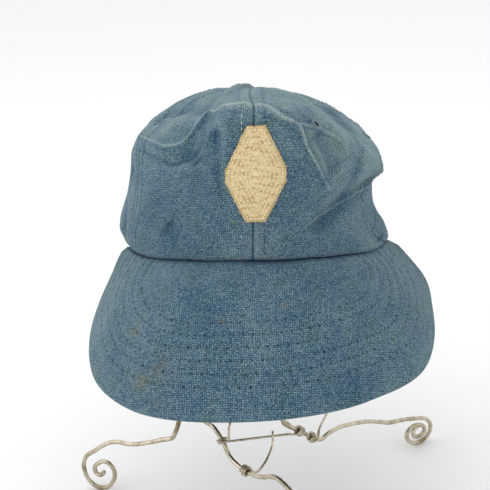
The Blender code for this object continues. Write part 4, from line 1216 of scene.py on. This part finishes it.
def make_peak():
    """Upper face, a half-round edge and the lower face, as one sheet of cloth round a thin board."""
    across = np.linspace(-PEAK_CUT, PEAK_CUT, PEAK_GRID[0])
    place, s = np.meshgrid(across, np.linspace(0, 1, PEAK_GRID[1]), indexing="ij")
    upper = peak_point(place, s)
    normal = -grid_normals(upper)
    free = upper[:, -1]
    inset, along_share = nearest_on_line(free[::3], upper)
    station = arc(free, 0)
    along = along_share * station[-1]
    ripple = sum(height * waves(upper, size, seed) for height, size, seed in RIPPLES)
    row = (inset - peak().first_row) / peak().row_step
    ripple = ripple - ROW_GROOVE * step_down(-row, 0.5, 0.05) * np.cos(CIRCLE * row)
    ripple = ripple - RIM_DIP * bell(s * PEAK_LENGTH, RIM_DIP_SPREAD)
    upper = upper + normal * (ripple * np.clip((1 - s) / PLAIN_EDGE, 0, 1))[..., None]
    lower = upper - normal * peak().board
    out = unit(upper[:, -1] - upper[:, -2])
    angle = np.linspace(0, math.pi, EDGE_STEPS)[1:-1]
    middle = (upper[:, -1] + lower[:, -1]) / 2
    edge = middle[:, None] + peak().board / 2 * (normal[:, -1][:, None] * np.cos(angle)[None, :, None]
                                                 + out[:, None] * np.sin(angle)[None, :, None])
    turn = across * np.radians(PEAK_TURN)
    inward = np.stack([-np.sin(turn), np.cos(turn), np.zeros_like(turn)], -1)
    rise = np.array([0, 0, TUCK_UP])
    tuck = np.stack([upper[:, 0] + inward * TUCK_IN + rise, upper[:, 0] + inward * TUCK_IN], 1)
    under = np.stack([lower[:, 0] + inward * TUCK_IN * 1.5, upper[:, 0] + inward * TUCK_IN * 1.5 + rise], 1)
    points = np.concatenate([tuck, upper, edge, lower[:, ::-1], under], axis=1)
    columns, rows = points.shape[:2]
    faces = grid_faces(columns, rows, wrap=True, flip=True)
    faces += [list(range(rows)), list(range(columns * rows - 1, (columns - 1) * rows - 1, -1))]
    around = arc(points, 0)
    around = around - around[columns // 2]
    rim_back = (upper[:, 0, 1] - upper[:, 0, 1].min()) * MAP_CURVE * (1 - across**2)
    flat = np.stack([around, arc(points, 1) - rim_back[:, None]], -1)

    def whole(face, rim, hidden):
        """Values for all rows of points, from those of the upper face, which the lower one repeats."""
        tucked, turned_edge = hidden * np.ones((columns, 2)), rim * np.ones((columns, len(angle)))
        return np.concatenate([tucked, face, turned_edge, face[:, ::-1], tucked], axis=1)

    inset_all = whole(inset, PAST_EDGE, OUT_OF_SIGHT)
    inset_all[:, 2 + inset.shape[1] + len(angle):] = OUT_OF_SIGHT
    along_all = whole(along, along[:, -1:], 0.0)
    wear_and_shading = PEAK_UNEVEN[0] * waves(points, *PEAK_UNEVEN[1:]) + PEAK_WORN
    wear_and_shading = wear_and_shading + ENDS_WORN * np.abs(across[:, None]) ** 3
    wear_and_shading = wear_and_shading + whole(EDGE_WORN * bell(inset, EDGE_WORN_SPREAD), RIM_OF_EDGE_WORN, 0.0)
    wear_and_shading = wear_and_shading + PEAK_DYED * gaussians(points, DARK_PATCHES)
    # Painted shade along the join with the crown, and in full on the tucked cloth.
    crease = whole(PEAK_JOIN_SHADE * bell(s * CREASE_LENGTH, PEAK_CREASE_SPREAD), 0.0, 1.0)
    obj = piece("cloth_peak", points + cap_place(), faces, cloth_material("quilted_canvas", rows=True),
                uv={"cloth": flat, "rows": np.stack([along_all, inset_all], -1)},
                layers={"wear_and_shading": wear_and_shading, "crease": crease, "stain": gaussians(points, SPOTS)},
                replaces=("peak",))


# -------------------------------------------------------------------------------------------- patch

def on_front(x, y, lift):
    """Points over the front of the crown, from their distances to the side of and above the patch's
    middle, and the normals there."""
    wall = (section("shoulder", np.zeros(1)) - section("rim", np.zeros(1))) * cap().crown_height
    s = PATCH_SHARE + y * SHOULDER_SHARE / wall
    turn = np.radians(PATCH_TURN) + np.arcsin(x / (cap().head_width / 2))
    normal = outward(plain_crown, turn, s)
    return crown(turn, s) + normal * np.asarray(lift)[..., None], normal


OUTLINE_STEPS, SMALLEST_TURN = 400, 0.0012
# Chain stitches: their length and how much of it shows, and how unevenly they are placed.
CHAIN_STEP, CHAIN_FILL, CHAIN_UNEVEN, CHAIN_ASTRAY = 0.0020, 0.90, 0.12, 0.00006
CHAIN_THICK, CHAIN_ARCH = 0.00046, 0.00034
WHIP_STEP, WHIP_THICK, WHIP_ARCH = 0.00115, 0.00027, 0.00045
WHIP_IN, WHIP_OUT, WHIP_SLANT = (0.0012, 0.0021), (0.0001, 0.0007), 0.0002
FELT_GAP = 0.0004
# The felt: its ragged edge as share, size and seed, how far in it is rounded, and its thickness as an even
# share and an uneven one with size and seed. Then how deep its rows sink, its aged edge as strength and
# spread, and how strongly the felt between its rows of stitches is darkened as painted shade.
RAGGED, FELT_ROUNDED, FELT_EVEN, FELT_UNEVEN = (0.010, 0.0016, 51), 0.0009, 0.93, (0.05, 0.003, 52)
QUILTED, AGED_EDGE, ROW_GAP_SHADE = 0.00018, (0.9, 0.0016), 0.30


def lozenge(inset):
    """The lozenge's outline, set in by a distance, as a closed polyline of even steps, and its length."""
    p = patch()
    half_w, half_h, tip = p.width / 2, p.height / 2, p.tip / 2
    knee = half_h * (1 - PATCH_SLOPE)
    slope = math.atan2(half_h - knee, half_w - tip)
    right, top = half_w - inset, half_h - inset
    if right < SMALLEST_TURN:
        return None
    rise = max(knee - inset * (1 - math.sin(slope)) / math.cos(slope), 0)
    at_top = max(right - (top - rise) / math.tan(slope), 0)
    top = rise + (right - at_top) * math.tan(slope)
    corners = np.array([(right, -rise), (right, rise), (at_top, top), (-at_top, top), (-right, rise),
                        (-right, -rise), (-at_top, -top), (at_top, -top), (right, -rise)])
    station = arc(corners, 0)
    keep = np.concatenate([[True], np.diff(station) > 1e-9])
    x = np.linspace(0, station[-1], OUTLINE_STEPS, endpoint=False)
    return points_at(x, station[keep], corners[keep]), station[-1]


def make_felt():
    """Felt lozenge with a ragged edge, thin at its rim and quilted by its rows of stitches."""
    p = patch()
    side, height = np.meshgrid(np.linspace(-1, 1, 101), np.linspace(-1, 1, 151), indexing="ij")
    slope = np.clip((1 - np.abs(height)) / PATCH_SLOPE, 0, 1)
    x = side * (p.tip / 2 + (p.width - p.tip) / 2 * slope)
    y = height * p.height / 2
    flat = np.stack([x, y, np.zeros_like(x)], -1)
    outline, _ = lozenge(0.0)
    closed = np.concatenate([outline[::4], outline[:1]])
    inset, _ = nearest_on_line(np.concatenate([closed, np.zeros((len(closed), 1))], axis=1), flat)
    near_edge = np.maximum(np.abs(side), np.abs(height)) ** 12
    ragged = 1 + RAGGED[0] * waves(flat, *RAGGED[1:]) * near_edge
    x, y = x * ragged, y * ragged
    full = np.clip(inset / FELT_ROUNDED, 0, 1)
    lift = p.felt * np.sqrt(full * (2 - full))
    lift = lift * (FELT_EVEN + FELT_UNEVEN[0] * waves(flat, *FELT_UNEVEN[1:]))
    lift = lift - QUILTED * np.cos(CIRCLE * inset / p.row)
    lift = np.where(full <= 0, 0, np.maximum(lift, 0))
    face, back = (on_front(x, y, FELT_GAP + above)[0] for above in (lift, np.zeros_like(x)))
    columns, rows = x.shape
    faces = grid_faces(columns, rows)
    faces += grid_faces(columns, rows, start=columns * rows, flip=True)
    edge = AGED_EDGE[0] * bell(inset, AGED_EDGE[1])
    # Painted shade on the felt between the rows of stitches.
    edge = edge + ROW_GAP_SHADE * (0.5 - 0.5 * np.cos(CIRCLE * inset / p.row)) ** 3
    obj = piece("felt_lozenge", np.stack([face, back]) + cap_place(), faces, felt_material(),
                uv={"cloth": np.stack([flat[..., :2]] * 2)}, layers={"edge": np.stack([edge, edge])},
                replaces=("front_patch",))
    close_up(obj, 2e-6)


def chain_rows(rng):
    """Starts, ends and tints of chain stitches along outlines set in row by row."""
    rows, inset = [], patch().row
    while lozenge(inset) is not None:
        line, around = lozenge(inset)
        count = int(around / CHAIN_STEP)
        uneven = rng.uniform(-CHAIN_UNEVEN, CHAIN_UNEVEN, count)
        station = (np.arange(count) + uneven) / count * OUTLINE_STEPS
        ends = []
        for places in (station, station + CHAIN_FILL * OUTLINE_STEPS / count):
            i = np.floor(places).astype(int)
            part = (places - i)[:, None]
            point = line[i % OUTLINE_STEPS] * (1 - part) + line[(i + 1) % OUTLINE_STEPS] * part
            ends.append(point + rng.normal(0, CHAIN_ASTRAY, point.shape))
        rows.append((*ends, rng.uniform(0, 0.6, count)))
        inset += patch().row
    return [np.concatenate(part) for part in zip(*rows)]


def make_patch():
    """Felt lozenge, chain stitch in rows set in from its outline, and a whipped edge."""
    make_felt()
    f, felt = finish(), patch().felt
    rng = np.random.default_rng(7)

    def sew(name, start, start_lift, end, end_lift, *shape_and_looks):
        above, normal = on_front(*start.T, np.full(len(start), FELT_GAP + start_lift))
        below, _ = on_front(*end.T, np.full(len(end), FELT_GAP + end_lift))
        threads(name, above + cap_place(), below + cap_place(), normal, *shape_and_looks)

    start, end, tint = chain_rows(rng)
    cream = thread_material("cream_thread", darker(f.felt, 0.98), darker(f.felt, 0.60),
                            light=(0.84, 0.73, 0.46), dark_from=0.40)
    sew("chain_stitch", start, felt * 1.02, end, felt * 1.02, CHAIN_THICK, CHAIN_ARCH, cream, "cream_felt",
        tint)
    line, around = lozenge(0.0)
    count = int(around / WHIP_STEP)
    i = (np.arange(count) / count * OUTLINE_STEPS).astype(int)
    tangent = unit(line[(i + 2) % OUTLINE_STEPS] - line[i - 2])
    out = np.stack([tangent[:, 1], -tangent[:, 0]], -1)
    slant = tangent * rng.normal(0, WHIP_SLANT, (count, 1))
    inner = line[i] - out * rng.uniform(*WHIP_IN, (count, 1)) + slant
    outer = line[i] + out * rng.uniform(*WHIP_OUT, (count, 1)) - slant
    tan = thread_material("tan_thread", darker(f.felt_edge, 1.25), darker(f.felt_edge, 0.7),
                          light=darker(f.felt, 1.0))
    sew("whipped_edge", inner, felt * 0.9, outer, -0.0001, WHIP_THICK, WHIP_ARCH, tan, "cream_felt",
        rng.uniform(0, 1, count) ** 2)


# --------------------------------------------------------------------------------- button and eyelets


def turned(profile, point, normal, steps, ridge, pinch=1.0):
    """A profile of radius and height turned about the normal, its radius changed by ridge of the angle and
    its second axis pinched."""
    side = unit(np.cross((0.0, 1.0, 0.0), normal))
    angle = around_circle(steps)
    change = ridge(angle[None], profile[:, :1], profile[:, 1:])
    radius = profile[:, :1] * (1 + change)
    local = np.stack([radius * np.cos(angle), pinch * radius * np.sin(angle),
                      np.broadcast_to(profile[:, 1:], radius.shape)], -1)
    return local @ np.array([side, np.cross(normal, side), normal]) + point


BUTTON_STEPS, EYELET_STEPS, NEAR_AXIS = 72, 160, 1e-6
# The button: the height its dome starts at, its underside as shares of its radius with heights, and the
# gathers at its edge as strength, number and how unevenly they are spaced.
DOME_FROM, UNDERSIDE = 0.0010, ((0.97, 0.0006), (0.8, 0.0001), (0.4, 0.0001), (0.0, 0.0001))
GATHERED, GATHERS, GATHERS_UNEVEN = 0.012, 18, 1.3
# Eyelets: thickness of the ring, how flat it is, and how narrow its slit makes it. Then the arc of the ring's
# section, its height, the hole's share of it, and its floor and base as shares of it with heights.
RING_THICK, RING_FLAT, EYELET_PINCH = 0.00085, 0.55, 0.45
RING_FROM, RING_TO, RING_LIFT, HOLE_SHARE = -0.35 * math.pi, 1.15 * math.pi, 0.0001, 0.75
(FLOOR_SHARE, HOLE_FLOOR), (BASE_SHARE, RING_BASE) = (0.45, -0.0002), (0.8, -0.0008)
# Depth of its stitches, half their number and the height they start at, and how high the eyelet sits.
WORKED, WORKED_WAVES, WORKED_FROM, EYELET_LIFT = 0.035, 20, 0.0002, 0.0002


def make_button():
    """A domed button covered with cloth that is gathered under its edge."""
    turn = around_circle(24)
    s = np.full_like(turn, TIP_SHARE)
    normal = unit(outward(plain_crown, turn, s).mean(axis=0))
    point = crown(turn, s).mean(axis=0)
    radius, height = cap().button / 2, cap().button_height
    angle = np.linspace(0, math.pi / 2, 18)
    dome = np.stack([radius * np.sin(angle), DOME_FROM + height * np.cos(angle)], -1)
    profile = np.concatenate([dome, np.array(UNDERSIDE) * (radius, 1)])
    profile[[0, -1], 0] = NEAR_AXIS

    def gathers(a, r, z):
        waving = np.cos(GATHERS * a + GATHERS_UNEVEN * np.sin(2 * a))
        return GATHERED * waving * np.clip(r / radius, 0, 1) ** 5

    points = turned(profile, point, normal, BUTTON_STEPS, gathers)
    out = np.clip(profile[:, :1] / radius, 0, 1) * np.ones((1, BUTTON_STEPS))
    angle = around_circle(BUTTON_STEPS)
    flat = np.stack([profile[:, :1] * np.cos(angle), profile[:, :1] * np.sin(angle)], -1)
    layers = {"wear_and_shading": 0.8 - 0.5 * out**6, "crease": 0.6 * out**14, "stain": out * 0}
    obj = piece("covered_button", points + cap_place(), grid_faces(*out.shape, wrap=True),
                cloth_material("button_canvas"), uv={"cloth": flat}, layers=layers, replaces=("button",))
    close_up(obj, 5e-6)


def make_eyelets():
    """A ring of close radial stitches round a small hole painted dark as shade, on each panel but one."""
    f = finish()
    g = Graph("eyelet_thread", {"Roughness": 0.85, "Sheen Weight": 0.3})
    thread = [(a + b) / 2 for a, b in zip(f.washed[:3], f.faded[:3])]
    # Painted shade: the hole inside the ring is drawn nearly black.
    g.shade({"Base Color": g.mix(g.layer("hole"), thread, darker(f.deep, 0.3))})
    outer = cap().eyelet / 2
    major = outer - RING_THICK
    angle = np.linspace(RING_FROM, RING_TO, 13)
    ring = np.stack([major + RING_THICK * np.cos(angle),
                     RING_LIFT + RING_THICK * RING_FLAT * np.sin(angle)], -1)
    floor = np.array([(major * FLOOR_SHARE, HOLE_FLOOR), (NEAR_AXIS, HOLE_FLOOR)])
    base = np.array([(NEAR_AXIS, RING_BASE), (major * BASE_SHARE, RING_BASE)])
    profile = np.concatenate([base, ring, floor])
    hole = (profile[:, :1] < major * HOLE_SHARE) * np.ones((1, EYELET_STEPS))
    around = np.linspace(0, CIRCLE, 24)

    def stitches(a, r, z):
        return WORKED * np.abs(np.sin(WORKED_WAVES * a)) * (z > WORKED_FROM)

    for name, (bearing, s) in EYELETS.items():
        turn, s = np.array([math.radians(bearing)]), np.array([s])
        normal = outward(crown, turn, s)[0]
        near = crown(turn + outer * np.cos(around) / (cap().head_width / 2),
                     s + outer * np.sin(around) / (cap().crown_height / SHOULDER_SHARE))
        point = crown(turn, s)[0]
        seat = max(float(((near - point) @ normal).mean()), 0)
        place = point + normal * (seat + EYELET_LIFT)
        points = turned(profile, place, normal, EYELET_STEPS, stitches, EYELET_PINCH)
        obj = piece("worked_" + name, points + cap_place(), grid_faces(*hole.shape, wrap=True, flip=True),
                    g.material, layers={"hole": hole}, replaces=(name,))
        close_up(obj, 5e-6)


# -------------------------------------------------------------------------------------------- stand


def smooth_path(points, step):
    """Points at about equal steps along a cubic through the given points."""
    points = np.array(points, float)
    stations = arc(points, 0)
    count = max(int(round(stations[-1] / step)), 2)
    x = np.linspace(0, stations[-1], count + 1)
    return np.stack([cubic_through(stations, points[:, k], x) for k in range(3)], -1)


def scroll_points(leg):
    """The scroll in its own plane: a tipped ellipse that shrinks to its inner turn once past its lowest
    point, by a smooth step of the angle turned since then."""
    scroll = dict(zip(SCROLL_COLUMNS, leg["scroll"]))
    swept = np.arange(0, 360 * scroll["turns"], SCROLL_STEP)
    past = np.clip((swept - SCROLL_START - 90 - TIGHTEN_FROM) / (TIGHTEN_TO - TIGHTEN_FROM), 0, 1)
    size = 1 - (1 - scroll["inner"]) * past * past * (3 - 2 * past)
    angle, tip = np.radians(SCROLL_START - swept), math.radians(scroll["tip"])
    half_width, half_height = scroll["width"] / 2, scroll["height"] / 2
    x, y = half_width * size * np.cos(angle), half_height * size * np.sin(angle)
    middle = stand().wire / 2 + math.hypot(half_height * math.cos(tip), half_width * math.sin(tip))
    out = x * math.cos(tip) - y * math.sin(tip)
    return np.stack([out, middle + x * math.sin(tip) + y * math.cos(tip)], -1)


def leg_route(leg):
    """Route of one wire: arm under the crown, rise through the rim, hip, leg and scroll."""
    hip, foot = np.array(leg["hip"]), np.array(leg["foot"])
    reach = foot - hip
    ahead = reach / np.linalg.norm(reach)
    arm_turn = np.full(3, math.radians(leg["arm"]))
    arm_share = np.linspace(ARM_TO, ARM_FROM, 3)
    under = cap().cloth + ARM_CLEARANCE + stand().wire / 2
    arm = crown(arm_turn, arm_share) - outward(crown, arm_turn, arm_share) * under
    arm = arm + np.array([0, 0, stand().rim_height])
    line = [(*(hip + reach * along), stand().hip * up) for along, up in leg["line"]]
    scroll = np.array([(*(foot + ahead * out), up) for out, up in scroll_points(leg)])
    above = smooth_path([*arm, *reversed(leg["rise"]), *line[:2]], RISE_STEP)
    below = smooth_path([leg["rise"][0], *line, scroll[0], scroll[1]], LEG_STEP)
    hip_above = np.argmin(np.linalg.norm(above - line[0], axis=1))
    hip_below = np.argmin(np.linalg.norm(below - line[0], axis=1))
    scroll_below = np.argmin(np.linalg.norm(below - scroll[0], axis=1))
    return np.concatenate([above[:hip_above], below[hip_below:scroll_below], scroll])


def nearest_run(path, place):
    """Middle and direction of the straight run of a wire that lies nearest to a place."""
    middles = (path[1:] + path[:-1]) / 2
    i = np.argmin(np.linalg.norm(middles - np.array(place), axis=1))
    return middles[i], unit(path[i + 1] - path[i])


def winding(middle, axis, side, turns, first, half_width, half_depth):
    """A helix of thin wire: an ellipse round the axis, moved along it by one pitch a turn."""
    side = np.array(side, float)
    side = unit(side - axis * (side @ axis))
    other = np.cross(axis, side)
    count = int(round(turns * TURN_POINTS)) + 1
    f = np.linspace(0, 1, count)[:, None]
    angle = first - CIRCLE * turns * f
    around = half_width * np.cos(angle) * side + half_depth * np.sin(angle) * other
    return middle + axis * (f - 0.5) * turns * (stand().tie + cap().gap) + around


def round_wire():
    """From a leg's middle to the middle of the thin wire wound round it, which is a polygon."""
    return (stand().wire / 2 + stand().tie / 2 + cap().gap) / math.cos(math.pi / TURN_POINTS)


def tie_paths(routes):
    """Routes of the thin wires: the brace between two legs and the three bindings."""
    reach = round_wire()
    forward = (0, -1, 0)
    left, left_axis = nearest_run(routes["leg_front"], BRACE_LEFT)
    right, right_axis = nearest_run(routes["leg_right"], BRACE_RIGHT)
    left_coil = winding(left, left_axis, forward, LEFT_TURNS, math.pi, reach, reach)
    right_coil = winding(right, right_axis, forward, RIGHT_TURNS, 0, reach, reach)
    run = right_coil[0] - left_coil[-1]
    straight = left_coil[-1] + run * np.array([[0.15], [0.5], [0.85]])
    back = [right + np.array(BRACE_RETURN[0]), *(left + np.array(BRACE_RETURN[1:]))]
    brace = np.concatenate([left_coil, straight, right_coil, back])
    low, low_axis = nearest_run(routes["leg_front"], LOW_TIE)
    coil = winding(low, low_axis, forward, LOW_TURNS, 0, reach, reach)
    crossing = left_coil[-1] + run * LOW_CROSSING
    clear = stand().tie + cap().gap * 2
    over = np.array([[0, -1, -1], [0, -1, 1], [0, 0, 1.5], [0, 1, 1]]) * clear
    spare, spare_axis = nearest_run(routes["leg_right"], SPARE_TIE)
    spare_coil = winding(spare, spare_axis, forward, SPARE_TURNS, 0, reach, reach)
    high_left, left_axis = nearest_run(routes["leg_left"], HIGH_TIE)
    high_front, front_axis = nearest_run(routes["leg_front"], HIGH_TIE)
    axis = unit(left_axis + front_axis)
    half_width = reach + np.linalg.norm(high_front - high_left) / 2
    middle = (high_left + high_front) / 2
    high = winding(middle, axis, high_front - high_left, HIGH_TURNS, 0, half_width, reach * HIGH_SLACK)
    return {
        "brace": brace,
        "tie_low": np.concatenate([coil, crossing + over]),
        "tie_spare": np.concatenate([spare_coil, spare + np.array(SPARE_END)]),
        "tie_high": high,
    }


# Steps along a wire in metres, and how its thickness varies as share, size and seed.
WIRE_STEP, TIE_STEP, SWELL = 0.0013, 0.0007, (0.035, 0.016, 61)


def make_stand():
    """The three legs and the four thin wires."""
    thick = wire_material("nickelled_wire", 1.0)
    thin = wire_material("thin_nickelled_wire", 1.6)
    routes = {name: leg_route(leg) for name, leg in LEGS.items()}
    for name, route in routes.items():
        path = smooth_path(route, WIRE_STEP)
        swell = SWELL[0] * waves(path, *SWELL[1:])
        path[:, 2] = np.maximum(path[:, 2], stand().wire / 2 * (1 + swell))
        tube("bent_" + name, path + STAND_PLACE, stand().wire / 2, thick, 14, (name,), swell)
    for name, route in tie_paths(routes).items():
        path = smooth_path(route, TIE_STEP)
        tube("wound_" + name, path + STAND_PLACE, stand().tie / 2, thin, 10, (name,))


# -------------------------------------------------------------------------------------------- stage

AZIMUTH, ELEVATION, ROLL = math.radians(3.5), math.radians(20.0), math.radians(-2.5)
DISTANCE, PIXEL, IMAGE_SIDE, SENSOR = 0.700, 0.000601, 490, 36
AIM = np.array((-0.009, 0.0, -0.011))
FLOOR_SIDE, FLOOR_DROP = 6.0, 0.0001
# Place, size and power of the two lights, which shine at one point.
LIGHTS = {
    "overhead": ((-0.25, 0.15, 1.5), (1.6, 1.2), 4),
    "left_window": ((-1.3, -0.5, 0.9), (0.9, 1.1), 3),
}
LIT_POINT = (0, 0, 0.2)


def orient(obj, side, up, back):
    """Turns a camera or light so that its own axes are the given ones."""
    obj.rotation_euler = Matrix(np.array([side, up, back]).T.tolist()).to_euler()


def make_stage():
    """Pale floor, even surroundings, a broad light above and a weaker one in front, and the camera."""
    corners = np.array([(-1, -1, 0), (1, -1, 0), (1, 1, 0), (-1, 1, 0)]) * FLOOR_SIDE
    mesh = bpy.data.meshes.new("floor")
    mesh.from_pydata((corners - (0, 0, FLOOR_DROP)).tolist(), [], [(0, 1, 2, 3)])
    floor = Graph("pale_floor", {"Roughness": 0.9, "Base Color": finish().paper, "Specular IOR Level": 0.0})
    mesh.materials.append(floor.material)
    link("floor", mesh)
    world = bpy.data.worlds.new("studio")
    world.use_nodes = True
    background = world.node_tree.nodes["Background"].inputs
    background["Color"].default_value, background["Strength"].default_value = (1.0, 1.0, 1.0, 1), 1.0
    scene = bpy.context.scene
    scene.world = world
    scene.view_settings.view_transform = "Standard"
    for name, (place, size, power) in LIGHTS.items():
        data = bpy.data.lights.new(name, "AREA")
        data.shape, data.energy = "RECTANGLE", power
        data.size, data.size_y = size
        light = link(name, data)
        light.location = place
        back = unit(np.array(place) - np.array(LIT_POINT))
        side = unit(np.cross((0, 0, 1.0), back))
        orient(light, side, np.cross(back, side), back)
    flat = math.cos(ELEVATION)
    back = np.array([math.sin(AZIMUTH) * flat, -math.cos(AZIMUTH) * flat, math.sin(ELEVATION)])
    right = np.array([math.cos(AZIMUTH), math.sin(AZIMUTH), 0])
    up = np.cross(back, right)
    data = bpy.data.cameras.new("camera")
    data.sensor_width = SENSOR
    data.lens = SENSOR * DISTANCE / (PIXEL * IMAGE_SIDE)
    data.clip_start, data.clip_end = 0.01, 50
    camera = link("camera", data)
    cos, sin = math.cos(ROLL), math.sin(ROLL)
    orient(camera, right * cos + up * sin, up * cos - right * sin, back)
    camera.location = AIM + cap_place() + back * DISTANCE
    scene.camera = camera


# ---------------------------------------------------------------------------------------- operators


class BuildOperator:
    """Runs one making function and stops with an error if it fails"""

    bl_options = {"REGISTER", "UNDO"}
    make = None

    def execute(self, context):
        type(self).make()
        return {"FINISHED"}


class CAP_OT_stage(BuildOperator, bpy.types.Operator):
    """Lay the pale floor, set the lights and place the camera"""

    bl_idname = "cap.stage"
    bl_label = "Stage and Camera"
    make = staticmethod(make_stage)


class CAP_OT_panels(BuildOperator, bpy.types.Operator):
    """Sew the six cloth panels and their rows of stitches"""

    bl_idname = "cap.panels"
    bl_label = "Panels"
    make = staticmethod(make_panels)


class CAP_OT_peak(BuildOperator, bpy.types.Operator):
    """Shape the quilted peak"""

    bl_idname = "cap.peak"
    bl_label = "Peak"
    make = staticmethod(make_peak)


class CAP_OT_patch(BuildOperator, bpy.types.Operator):
    """Sew the felt lozenge on the front"""

    bl_idname = "cap.patch"
    bl_label = "Felt Lozenge"
    make = staticmethod(make_patch)


class CAP_OT_button(BuildOperator, bpy.types.Operator):
    """Cover the button"""

    bl_idname = "cap.button"
    bl_label = "Covered Button"
    make = staticmethod(make_button)


class CAP_OT_eyelets(BuildOperator, bpy.types.Operator):
    """Work the eyelets"""

    bl_idname = "cap.eyelets"
    bl_label = "Eyelets"
    make = staticmethod(make_eyelets)


class CAP_OT_stand(BuildOperator, bpy.types.Operator):
    """Bend the wire stand and wind its bindings"""

    bl_idname = "cap.stand"
    bl_label = "Wire Stand"
    make = staticmethod(make_stand)


OPERATORS = (
    CAP_OT_stage, CAP_OT_panels, CAP_OT_peak, CAP_OT_patch, CAP_OT_button, CAP_OT_eyelets, CAP_OT_stand,
)


class CAP_PT_sidebar(bpy.types.Panel):
    """Sizes, colours and build steps"""

    bl_label = "Cap on a Stand"
    bl_idname = "CAP_PT_sidebar"
    bl_space_type = "VIEW_3D"
    bl_region_type = "UI"
    bl_category = "Cap"

    def draw(self, context):
        for group in GROUPS:
            box = self.layout.box()
            holder = getattr(context.scene, group)
            for key in holder.bl_rna.properties.keys():
                if key not in ("rna_type", "name"):
                    box.prop(holder, key)
        for operator in OPERATORS:
            self.layout.operator(operator.bl_idname)


GROUPS = {
    "cap_sizes": CapSizes,
    "peak_sizes": PeakSizes,
    "patch_sizes": PatchSizes,
    "stand_sizes": StandSizes,
    "cap_finishes": Finishes,
}


def register():
    for cls in (*GROUPS.values(), *OPERATORS, CAP_PT_sidebar):
        bpy.utils.register_class(cls)
    for name, cls in GROUPS.items():
        setattr(bpy.types.Scene, name, PointerProperty(type=cls))


def unregister():
    for name in GROUPS:
        delattr(bpy.types.Scene, name)
    for cls in reversed((*GROUPS.values(), *OPERATORS, CAP_PT_sidebar)):
        bpy.utils.unregister_class(cls)


def main():
    register()
    for operator in OPERATORS:
        getattr(bpy.ops.cap, operator.bl_idname.split(".")[1])()


if __name__ == "__main__":
    main()
